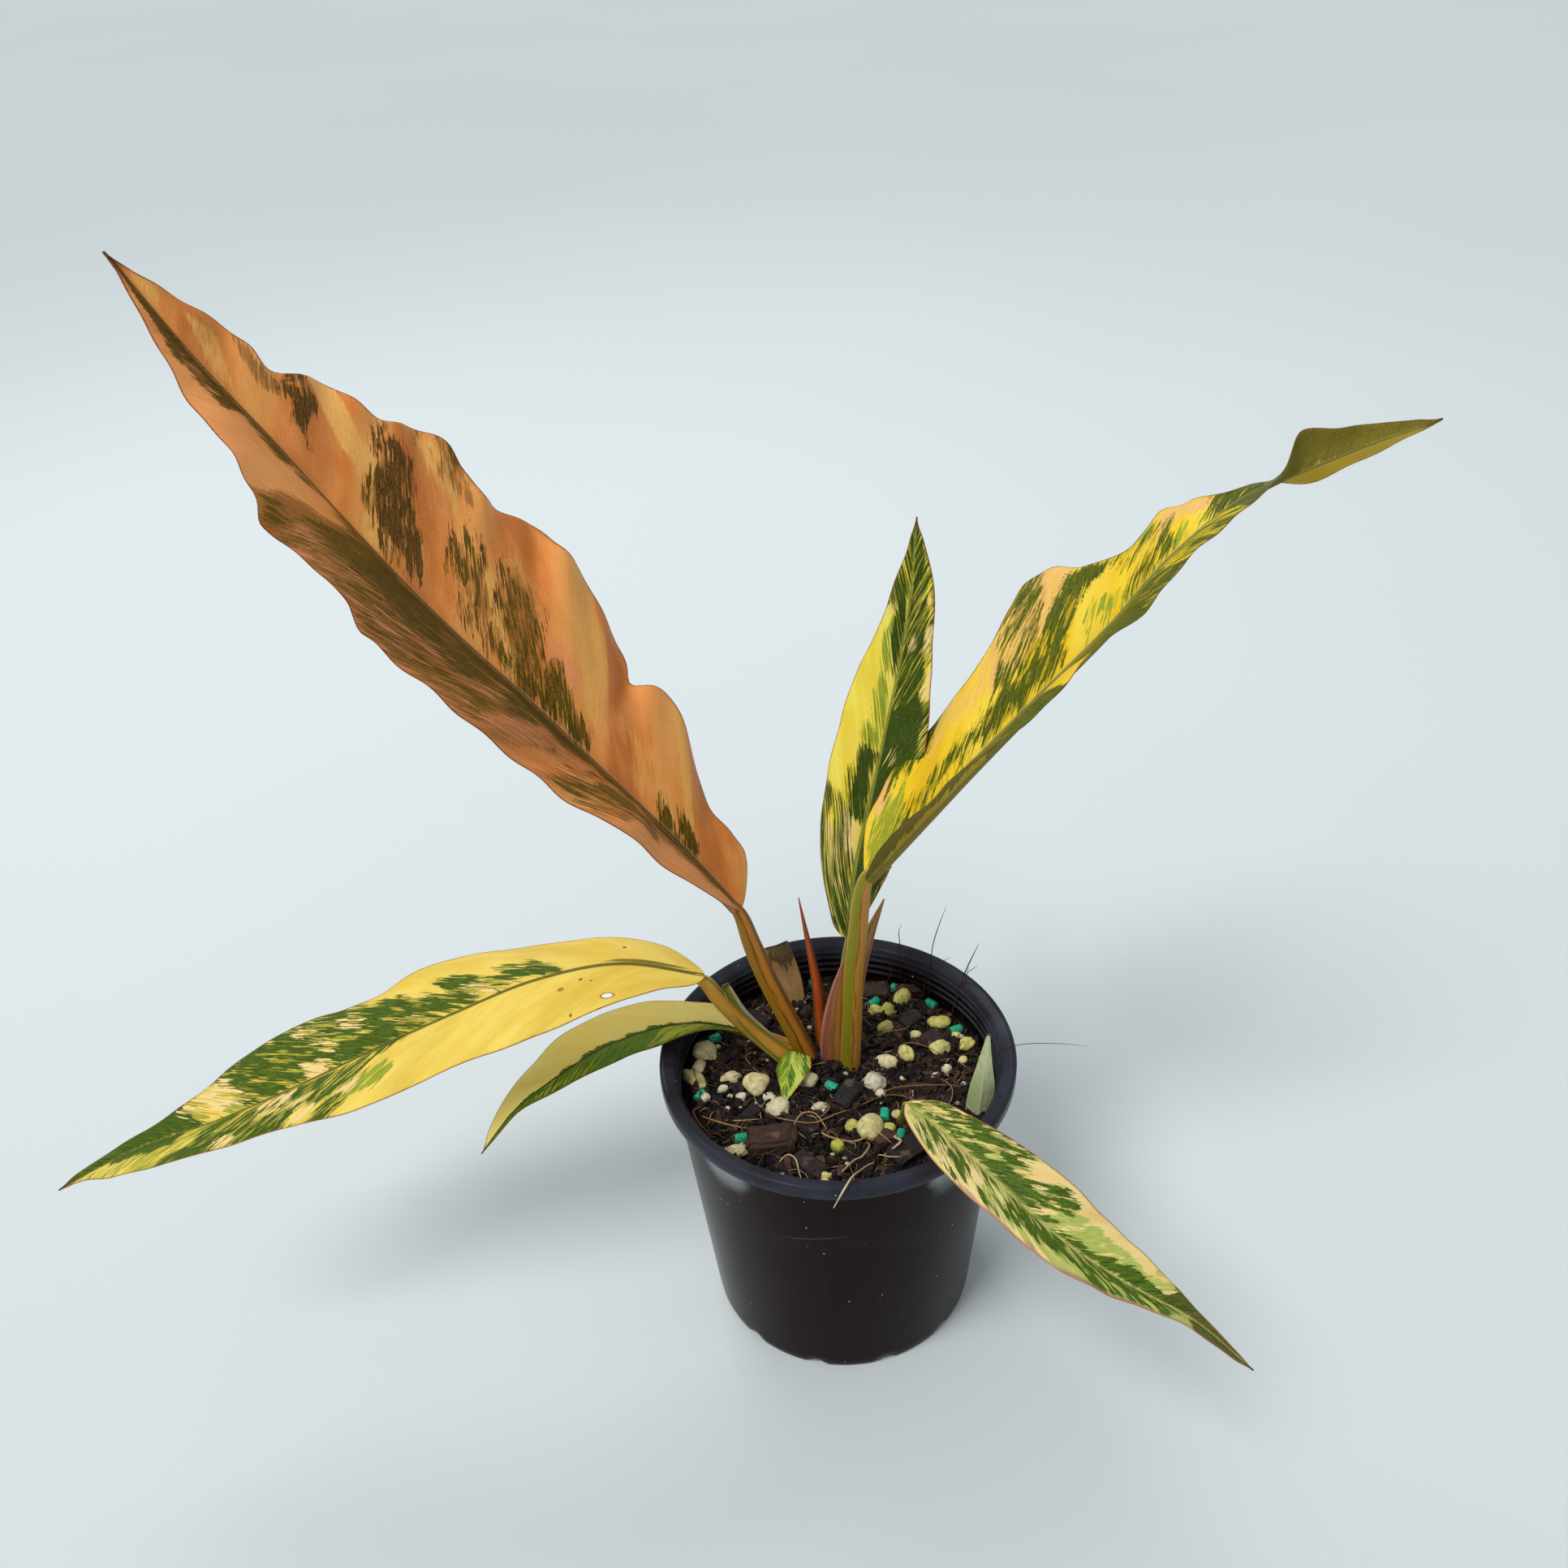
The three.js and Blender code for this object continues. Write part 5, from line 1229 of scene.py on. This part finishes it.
def add_pot():
    foot = [(AXIS_RADIUS, 0), (46, 0)]
    notched = [(46.4, 0.02), (49.2, 0), (50.2, 0.5), (wall_radius(2), 2), (wall_radius(5), 5)]
    outside = [(wall_radius(height), height) for height in range(10, 107, 6)]
    ridges = [(wall_radius(height) - WALL - depth, height + rise)
              for height in RIDGE_HEIGHTS for depth, rise in RIDGE_PROFILE]
    inside = [(wall_radius(height) - WALL, height) for height in (100, 80, 50, 20, FLOOR + 1)]
    floor = [(wall_radius(FLOOR) - WALL - 1, FLOOR), (AXIS_RADIUS, FLOOR)]
    profile = np.array(foot + notched + outside + RIM_PROFILE + ridges + inside + floor, float)
    radius, turn = np.meshgrid(profile[:, 0], around(POT_SEGMENTS), indexing="ij")
    height = np.repeat(profile[:, 1:], POT_SEGMENTS, axis=1)
    pitch = CIRCLE / DRAIN_COUNT
    off = np.abs((turn / pitch) % 1 - 0.5) * pitch * BASE_RADIUS
    arch = DRAIN_HEIGHT * np.sqrt(np.clip(1 - (off / DRAIN_HALF_WIDTH) ** 2, 0, 1))
    rows = slice(len(foot), len(foot + notched))
    lifted = (arch * (1 - height / DRAIN_FADE))[rows]
    height[rows] = np.maximum(height[rows], lifted)
    points = np.stack([radius * np.cos(turn), radius * np.sin(turn), height], axis=-1)
    mesh = new_mesh("pot", points, ring_faces(len(profile), POT_SEGMENTS), pot_material())
    add_piece("pot_shell", mesh, "pot", "pot")


# Soil

SOIL_LEVEL = 100
SOIL_MOUND = 1.2
SOIL_LUMP = 0.9
SOIL_WAVES = [(0.21, 0.19, 1, 1), (0.43, 0.37, 0, 0.6), (0.71, -0.59, 1.6, 0.4)]
SOIL_RADIUS = wall_radius(SOIL_LEVEL) - WALL - WALL_GAP
GROUND_RINGS = 56
GROUND_SEGMENTS = 300
GROUND_DROP = 0.9                # of the bare ground under the level that the litter lies on
GROUND_FOOT = 60                 # height down to which the ground's skirt runs
FIBRE_STRETCH = (300.0, 60.0, 300.0)
FIBRE_TURN = (0.0, 0.0, 0.6)


def soil_height(x, y):
    radius = np.hypot(x, y) / (wall_radius(SOIL_LEVEL) - WALL)
    lumps = sum(share * np.sin(x * a + y * b + phase) for a, b, phase, share in SOIL_WAVES)
    return SOIL_LEVEL + SOIL_MOUND * (1 - radius ** 2) + SOIL_LUMP * lumps * (1 - radius / 2)


def soil_material():
    """Dark damp peat with clods, brown crumbs and a few fibres."""
    shader = Shader("soil_dark")
    place = shader.place()
    crumb = shader.noise(place, 420.0, 4.0, 0.7)
    clod = shader.noise(place, 130.0, 3.0, 0.6)
    colour = shader.mix(clod.step(0.35, 0.7), (12, 9, 8), (34, 24, 21))
    colour = colour.tinted(crumb.step(0.6, 0.75) * 0.5, (84, 60, 46))
    stretched = {"Vector": place, "Scale": FIBRE_STRETCH, "Rotation": FIBRE_TURN}
    fibre = shader.noise(shader.node("ShaderNodeMapping", stretched), 1.0).step(0.66, 0.72)
    colour = colour.tinted(fibre * 0.5, (112, 82, 58))
    return shader.finish(Base_Color=colour, Roughness=0.85, Specular_IOR_Level=0.3,
                         Normal=shader.bump(crumb * 0.6 + clod * 0.9, 0.0016, 0.9))


def tinted_material(name, stops, roughness, bump, scale, speck=None):
    """A material whose colour runs between stops by each small body's own tint."""
    shader = Shader(name)
    tint = shader.node("ShaderNodeValToRGB", {0: shader.attribute("tint")})
    points = tint.socket.node.color_ramp.elements
    while len(points) < len(stops):
        points.new(0.5)
    for index, ink in enumerate(stops):
        points[index].position = index / (len(stops) - 1)
        points[index].color = linear(*ink)
    rough = shader.noise(shader.place(), scale, 3.0, 0.65)
    colour = shader.mix(rough.step(0.62, 0.3), tint, tint.tinted(0.42, (0, 0, 0)))
    if speck:
        dots = shader.noise(shader.place(), scale * 0.5, 1.0).step(0.6, 0.7)
        colour = colour.tinted(dots * 0.5, speck)
    return shader.finish(Base_Color=colour, Roughness=roughness, Specular_IOR_Level=0.35,
                         Normal=shader.bump(rough, bump, 0.8))


def add_ground():
    """The soil's surface, with a skirt down the pot's wall and a flat underside."""
    radius = np.linspace(0.02, 1, GROUND_RINGS)[:, None] * SOIL_RADIUS
    turn = around(GROUND_SEGMENTS)[None]
    x = radius * np.cos(turn)
    y = radius * np.sin(turn)
    lumps = 1.1 * ripple(3, x / 2.6, y / 2.6) + 0.7 * ripple(4, x / 1.1, y / 1.1)
    level = lumps * ramp(-radius, -SOIL_RADIUS, -SOIL_RADIUS + 3)
    z = soil_height(x, y) - GROUND_DROP + level
    points = np.stack([x, y, z], axis=-1).reshape(-1, 3)
    skirt = points[-GROUND_SEGMENTS:] * (wall_radius(GROUND_FOOT) - WALL - 0.3) / SOIL_RADIUS
    skirt[:, 2] = GROUND_FOOT
    faces = [face[::-1] for face in ring_faces(GROUND_RINGS + 1, GROUND_SEGMENTS)]
    mesh = new_mesh("soil_ground", np.concatenate([points, skirt]), faces, soil_material())
    add_piece("soil_ground", mesh, "soil", "soil", "stem_crown")


def sphere(levels):
    """Points and triangles of an evenly divided icosahedron with a radius of 0.5."""
    shape = bmesh.new()
    bmesh.ops.create_icosphere(shape, subdivisions=levels, radius=0.5)
    points = np.array([vertex.co[:] for vertex in shape.verts])
    faces = [tuple(vertex.index for vertex in face.verts) for face in shape.faces]
    shape.free()
    return points, faces


def turned_flat(points, degrees):
    turn = math.radians(degrees)
    x = points[:, 0] * math.cos(turn) - points[:, 1] * math.sin(turn)
    y = points[:, 0] * math.sin(turn) + points[:, 1] * math.cos(turn)
    return np.stack([x, y, points[:, 2]], axis=-1)


# Pumice on the soil: centre x and y, length, width, height, turn in degrees, and tint from
# white through cream to yellow green
PUMICE = [
    (-50.4, 18.2, 9.6, 8.8, 7, 20, 0.3), (-51.8, 10.3, 7, 4.8, 3.6, 70, 0.25),
    (-53.4, 4.5, 11.5, 6, 5, -50, 0.4), (-39.6, 3.5, 8, 4.8, 4.4, 10, 0.3),
    (-30, -1.3, 9.4, 9, 6, 0, 0.35), (-42.6, -1.4, 4.6, 3.6, 3.4, 40, 0.1),
    (-49.6, -7, 5, 4, 3.4, 10, 0.1), (-22.4, -13.4, 9, 8, 5, 30, 0.2), (-12, 0.5, 8.4, 7.4, 6, 15, 0.25),
    (-38.9, -32.3, 11, 5.4, 4.6, 10, 0.3), (3.3, 50.4, 7.6, 4.6, 5.4, 80, 0.6),
    (2, 44, 6, 5, 4, 20, 0.55), (27.6, 41.9, 9, 7, 6, 60, 0.7), (17, 36.4, 5.6, 5, 4.6, 0, 0.75),
    (22, 36, 5.6, 5.2, 4.6, 0, 0.85), (20, 26, 6.6, 5.4, 5, 45, 0.8),
    (40.6, 26.6, 8, 6.6, 5.4, -20, 0.75), (39.7, 13.7, 8, 6.4, 5.4, -10, 0.55),
    (26.4, 9.6, 7.2, 6, 5.4, -50, 0.6), (19.4, 7, 9, 6.4, 5.4, -30, 0.25),
    (49.6, 14.8, 6.6, 5, 4, 20, 0.65), (46, 20, 4, 3, 3, 0, 0.6), (13.2, -3.6, 8.6, 8, 6.4, 0, 0.05),
    (15, -10, 4, 4.6, 4, 0, 0.1), (9.7, -25.8, 11, 10.4, 9, 70, 0.45), (4, -24, 5.6, 5, 5, 0, 0.75),
    (16.4, -26.4, 6, 5.4, 5, 0, 0.75), (-2, -33, 5, 4.8, 4.6, 0, 0.95), (47.4, 7, 4.6, 3.4, 3, 60, 0.5),
    (-6.6, -46, 5, 4, 4, 0, 0.55), (40.6, 3, 4.4, 4.2, 3.4, 0, 0.1), (-8, -14, 7, 4, 4, 20, 0.15),
    (-25, -8, 5, 3.4, 3, -20, 0.1), (-36, -6, 4, 3, 3, 0, 0.05), (31, 22, 5, 4, 3.4, 10, 0.5),
    (36, -2, 3.4, 3, 2.6, 0, 0.05), (-45, 15, 4, 3, 3, 0, 0.4), (20, -20, 4, 3.4, 3, 0, 0.5),
    (-20, 36, 5, 4, 4, 0, 0.1), (24, -1, 3, 2.4, 2.2, 0, 0.4),
]
# Bark chips, with tints from charcoal to brown
BARKS = [
    (-25.4, -28.6, 17, 11, 7, 5, 0.55), (22, -37.5, 14, 9, 7, 35, 0.1), (-12, -41, 13, 7, 5, -40, 0.3),
    (17.6, 47, 11, 8, 5, 0, 0.45), (31, 47, 11, 6, 5, 8, 0.6), (-33, -16, 10, 5, 4, 50, 0.05),
    (3, -9, 13, 8, 5, 60, 0), (37, 19, 9, 7, 4, 30, 0.4), (27, -6, 16, 3, 3, -4, 0.5),
    (-2, 30, 12, 7, 4, 20, 0.2), (-30, 34, 12, 7, 4, -30, 0.1), (38, -12, 10, 6, 3, 70, 0.3),
    (15, -30, 9, 6, 5, 20, 0.7), (-14, -22, 13, 7, 4, -10, 0.15), (30, 30, 9, 6, 4, 40, 0.35),
]
# Feed pellets: centre x and y, and turn in degrees
PELLETS = [
    (-6.5, 54, 0), (16.5, 40, 50), (26.2, 48.6, -28), (39, 38.4, 135), (46.6, 22.4, 20), (-51, -6, 60),
    (-36, -27, 10), (-2.5, -4.4, -40), (15.6, -19.6, 80), (20.4, -29.6, 70), (-46, 24, 30),
]
PELLET_LENGTH = 4.6
PELLET_RADIUS = 1.75
PELLET_SIDES = 18
PELLET_PROFILE = [               # place along it and radius, each as a share
    (-1, 0.3), (-1, 0.78), (-0.94, 0.96), (-0.8, 1), (0.8, 1), (0.94, 0.96), (1, 0.78), (0.98, 0.3),
]
CRUMB_SEED = 11
CRUMB_COUNT = 4200
CRUMB_SMALLEST = 0.6
CRUMB_SPREAD = 3.0               # between the smallest and the largest
PALE_COUNT = 90
PALE_SIZES = (0.7, 2.2)


def add_stones(name, stones, shape, sink, material):
    """One body for each row of stones. Shape gives the points of a body 1 mm across by its index."""
    heap = Heap()
    _, faces = sphere(4)
    for index, (x, y, long, wide, high, turn, tint) in enumerate(stones):
        body = turned_flat(shape(index) * (long, wide, high), turn)
        heap.add(body + (x, y, soil_height(x, y) + high * sink), faces, tint)
    heap.show(name, material, "soil")


def add_pumice():
    ball, _ = sphere(4)

    def lump(index):
        swell = 1 + 0.17 * ripple(index, *(ball * 4.2).T) + 0.035 * ripple(index + 70, *(ball * 10).T)
        swell = swell + 0.01 * ripple(index + 140, *(ball * 26).T)
        return ball * swell[:, None]

    stops = [(226, 218, 198), (226, 214, 158), (212, 204, 112), (188, 186, 78)]
    material = tinted_material("pumice_stone", stops, 0.8, 0.0005, 420.0, speck=(160, 142, 100))
    add_stones("pumice", PUMICE, lump, 0.2, material)


def add_pellets():
    heap = Heap()
    angle = around(PELLET_SIDES)
    for index, (x, y, turn) in enumerate(PELLETS):
        rows = []
        for along, out in PELLET_PROFILE:
            wobble = 1 + 0.05 * ripple(index, np.cos(angle) * 2, np.sin(angle) * 2 + along * 2)
            radius = out * PELLET_RADIUS * wobble
            end = np.full(PELLET_SIDES, along * PELLET_LENGTH / 2)
            rows.append(np.stack([end, radius * np.cos(angle), radius * np.sin(angle)], axis=-1))
        body = turned_flat(np.concatenate(rows), turn)
        body = body + (x, y, soil_height(x, y) + PELLET_RADIUS * 0.7)
        heap.add(body, ring_faces(len(PELLET_PROFILE), PELLET_SIDES), (index * 0.37) % 1)
    material = tinted_material("feed_pellets", [(20, 160, 120), (44, 190, 148)], 0.45, 0.0002, 900.0)
    heap.show("feed_pellets", material, "soil")


def add_barks():
    ball, _ = sphere(4)
    block = np.sign(ball) * np.abs(ball * 2) ** 0.35 / 2

    def chip(index):
        rough = 0.09 * ripple(index + 20, *(ball * 7).T)
        rough = rough + 0.05 * ripple(index + 40, *(ball * (5, 22, 22)).T)
        return block * (1 + rough[:, None])

    stops = [(34, 32, 34), (46, 34, 30), (78, 50, 40), (96, 62, 48)]
    material = tinted_material("bark_chips", stops, 0.75, 0.0012, 330.0, speck=(120, 96, 80))
    add_stones("bark_chips", BARKS, chip, 0.12, material)


def scatter(draw, count, low=0.0, high=SOIL_RADIUS - 1.5):
    """Random places on the soil between two distances from its middle."""
    radius = np.sqrt(draw.uniform(low ** 2, high ** 2, count))
    turn = draw.uniform(0, CIRCLE, count)
    return zip(radius * np.cos(turn), radius * np.sin(turn))


def turning(draw, tilt):
    """A random turn about the upright with a smaller random lean."""
    spin = Matrix.Rotation(draw.uniform(0, CIRCLE), 3, "Z")
    lean = Matrix.Rotation(draw.normal(0, tilt), 3, "X") @ Matrix.Rotation(draw.normal(0, tilt), 3, "Y")
    return np.array(spin @ lean)


def add_crumbs(draw):
    """Small chips of bark and peat over the whole soil."""
    cube = np.array([(x, y, z) for x in (-0.5, 0.5) for y in (-0.5, 0.5) for z in (-0.5, 0.5)])
    faces = [(0, 1, 3, 2), (4, 6, 7, 5), (0, 4, 5, 1), (2, 3, 7, 6), (0, 2, 6, 4), (1, 5, 7, 3)]
    heap = Heap()
    for x, y in scatter(draw, CRUMB_COUNT):
        size = CRUMB_SMALLEST + CRUMB_SPREAD * draw.uniform() ** 3
        shape = size * np.array([1.5, draw.uniform(0.4, 0.9), draw.uniform(0.25, 0.6)])
        body = (cube + draw.normal(0, 0.13, cube.shape)) * shape
        body = body @ turning(draw, 0.45).T
        body = body + (x, y, soil_height(x, y) + draw.uniform(-0.2, 0.9))
        heap.add(body, faces, draw.uniform() ** 1.6)
    stops = [(12, 9, 8), (24, 17, 15), (46, 31, 25), (96, 66, 48)]
    material = tinted_material("soil_crumbs", stops, 0.8, 0.0006, 500.0)
    heap.show("soil_crumbs", material, "soil", shade_smooth=False)


def add_pale_crumbs(draw):
    heap = Heap()
    ball, faces = sphere(2)
    for x, y in scatter(draw, PALE_COUNT):
        size = draw.uniform(*PALE_SIZES)
        body = ball * (1 + 0.12 * ripple(int(abs(x) * 10), *(ball * 6).T)[:, None])
        body = body * size * (1.2, 1.0, 0.8) + (x, y, soil_height(x, y) + size * 0.25)
        heap.add(body, faces, draw.uniform(0, 0.7))
    stops = [(214, 206, 190), (190, 178, 140), (168, 160, 100)]
    heap.show("pale_crumbs", tinted_material("pale_crumbs", stops, 0.85, 0.0004, 700.0), "soil")


# Roots and hairs

# Strands drawn one by one: path, radius and tint from dark through brown to pale straw
DRAWN_STRANDS = [
    ([(27.7, 50, 100), (27.4, 50, 112), (27.6, 49, 122), (27, 48, 130), (27.9, 47, 135)], 0.16, 0.15),
    ([(37.8, 40, 100), (38.6, 43, 112), (40, 46, 124), (42.6, 48, 133), (45.2, 49, 140.7)], 0.18, 0.1),
    ([(45.8, 31, 101), (48.4, 33, 110), (50.6, 34.5, 118), (53.6, 35.4, 126),
      (56.3, 36, 132.8)], 0.24, 0.2),
    ([(50.6, 34.5, 118), (53, 34, 121), (56, 33.6, 124)], 0.12, 0.2),
    ([(51, 30, 100), (52.4, 32, 108), (51.4, 34, 116), (52.6, 35, 122)], 0.2, 0.3),
    ([(36, 44, 100), (38, 46, 108), (43, 47, 114), (47, 46, 118)], 0.14, 0.4),
    ([(52, 6, 101), (55, -2.3, 112), (66, -3, 117), (80, -3.4, 117), (90.7, -4.4, 116)], 0.12, 0.1),
    ([(-46, 26, 101), (-44, 30, 108), (-42, 34, 116), (-40, 37, 120)], 0.16, 0.35),
    ([(20, 48, 100), (24, 50, 108), (23, 51, 115), (25, 52, 120)], 0.14, 0.3),
    ([(-10, -24, 101.5), (-4, -30, 103), (4, -32, 102.6), (12, -30, 104), (17, -34, 103)], 0.4, 0.75),
    ([(-16, -12, 102), (-14, -18, 103.4), (-8, -20, 103), (-4, -16, 103.6), (-7, -12, 102)], 0.32, 0.6),
    ([(-24, -18, 102), (-18, -22, 104), (-10, -23, 103.4), (-2, -20, 104), (4, -16, 102)], 0.28, 0.7),
    ([(-5, -26, 102), (-9, -20, 104.6), (-14, -19, 104), (-17, -24, 102.6), (-13, -29, 102)], 0.26, 0.8),
    ([(13.5, -37, 100), (17, -38, 104.6), (20, -36, 106), (18, -33, 105), (20, -30, 103)], 0.45, 0.95),
    ([(12, -39, 103), (16, -42, 105), (21, -41, 104), (24, -38, 104)], 0.3, 0.85),
    ([(-2, -45, 101), (3, -42, 104), (6, -40, 103.6), (9, -36, 104.4), (8, -32, 102)], 0.32, 0.85),
    ([(-24, -40, 101), (-20, -37, 103), (-17, -40, 104), (-16, -45, 103), (-15, -50, 103)], 0.3, 0.9),
    ([(-52, -14, 101), (-44, -20, 103), (-38, -22, 102.6), (-30, -24, 102)], 0.34, 0.7),
    ([(-42, -18, 101.6), (-36, -20, 103.2), (-29, -19, 102.4)], 0.3, 0.75),
    ([(-54, 10, 101), (-53, 2, 106), (-51, -6, 105), (-52, -12, 101.6)], 0.22, 0.4),
    ([(-50, -10, 101), (-53, -16, 105), (-51, -21, 104), (-47, -25, 102)], 0.4, 0.5),
    ([(22, 14, 101.6), (28, 15, 103.4), (34, 13, 103), (40, 9, 102)], 0.2, 0.6),
    ([(14, 20, 102), (20, 21, 104), (27, 23, 103), (30, 27, 102)], 0.18, 0.7),
    ([(10, -12, 102), (20, -9, 104.4), (30, -8, 104), (40, -8, 103.4), (48, -9, 102)], 0.26, 0.55),
    ([(8, -14, 102), (17, -12, 104), (24, -14, 104.6), (31, -17, 103)], 0.22, 0.5),
    ([(-30, 16, 102), (-34, 12, 103.6), (-31, 6, 103), (-26, 2, 102)], 0.2, 0.65),
    ([(36, -20, 102), (40, -16, 104), (41, -9, 103.6), (38, -3, 102)], 0.2, 0.7),
    ([(52, -16, 101), (54, -10, 105), (54.6, -2, 105), (53, 6, 102)], 0.18, 0.75),
]
STRAND_SEED = 23
STRAND_COUNT = 620
STRAND_KNOTS = 5
STRAND_STEPS = (1.2, 4.0)        # shortest and longest way from knot to knot
STRAND_RADII = (0.05, 0.19)
ROOT_PALE_PATH = [(13.5, -37, 97), (8.5, -44.5, 104.5), (4.6, -54, 112.5), (1.4, -61.5, 118),
                  (-2, -66.6, 117), (-5.2, -68.4, 111.5)]
ROOT_PALE_RADII = [(0.4, 0.4), (0.34, 0.34), (0.28, 0.28), (0.3, 0.3), (0.34, 0.34), (0.16, 0.16)]


def add_strand(heap, path, radius, tint, sides, spacing):
    radii = [(radius * share, radius * share) for share in (0.8, 1, 1, 0.35)]
    points, faces, _ = tube(path, radii, sides, spacing)
    heap.add(points, faces, tint)


def strewn_path(draw, x, y):
    """A thin root that wanders over the soil, and stays inside the pot."""
    heading = draw.uniform(0, CIRCLE)
    bend = draw.normal(0, 0.5)
    step = draw.uniform(*STRAND_STEPS)
    path = []
    for index in range(STRAND_KNOTS):
        rise = 0.5 + draw.uniform(-0.4, 1.6) * math.sin(math.pi * index / (STRAND_KNOTS - 1))
        path.append((x, y, float(soil_height(x, y)) + rise))
        x += step * math.cos(heading)
        y += step * math.sin(heading)
        heading += bend + draw.normal(0, 0.35)
        if math.hypot(x, y) > SOIL_RADIUS - 1.5:
            x, y = x * 0.93, y * 0.93
    return path


def add_strands():
    draw = np.random.default_rng(STRAND_SEED)
    strands = Heap()
    for path, radius, tint in DRAWN_STRANDS:
        add_strand(strands, path, radius, tint, sides=6, spacing=0.9)
    for x, y in scatter(draw, STRAND_COUNT, 6, SOIL_RADIUS - 4):
        path = strewn_path(draw, x, y)
        radius = draw.uniform(*STRAND_RADII)
        add_strand(strands, path, radius, draw.uniform() ** 1.3, sides=4, spacing=1.3)
    stops = [(34, 26, 26), (92, 52, 34), (158, 112, 70), (220, 196, 150)]
    material = tinted_material("root_fibre", stops, 0.6, 0.0002, 800.0)
    strands.show("root_strands", material, "dry")
    root = Heap()
    points, faces, _ = tube(ROOT_PALE_PATH, ROOT_PALE_RADII, 12, 0.7, seed=3, ridges=0.12)
    root.add(points, faces, 1.0)
    root.show("root_pale", material, "dry", "root_over_rim")


add_camera()
add_lights()
add_floor()
add_pot()
add_ground()
add_pumice()
add_pellets()
add_barks()
crumb_draw = np.random.default_rng(CRUMB_SEED)
add_crumbs(crumb_draw)
add_pale_crumbs(crumb_draw)
add_strands()
add_stalks()
add_sheaths()
add_leaves()

plain = lambda box: [[float(value) for value in corner] for corner in box]
{"cad": plain(cad_box), "visual": plain(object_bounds())}
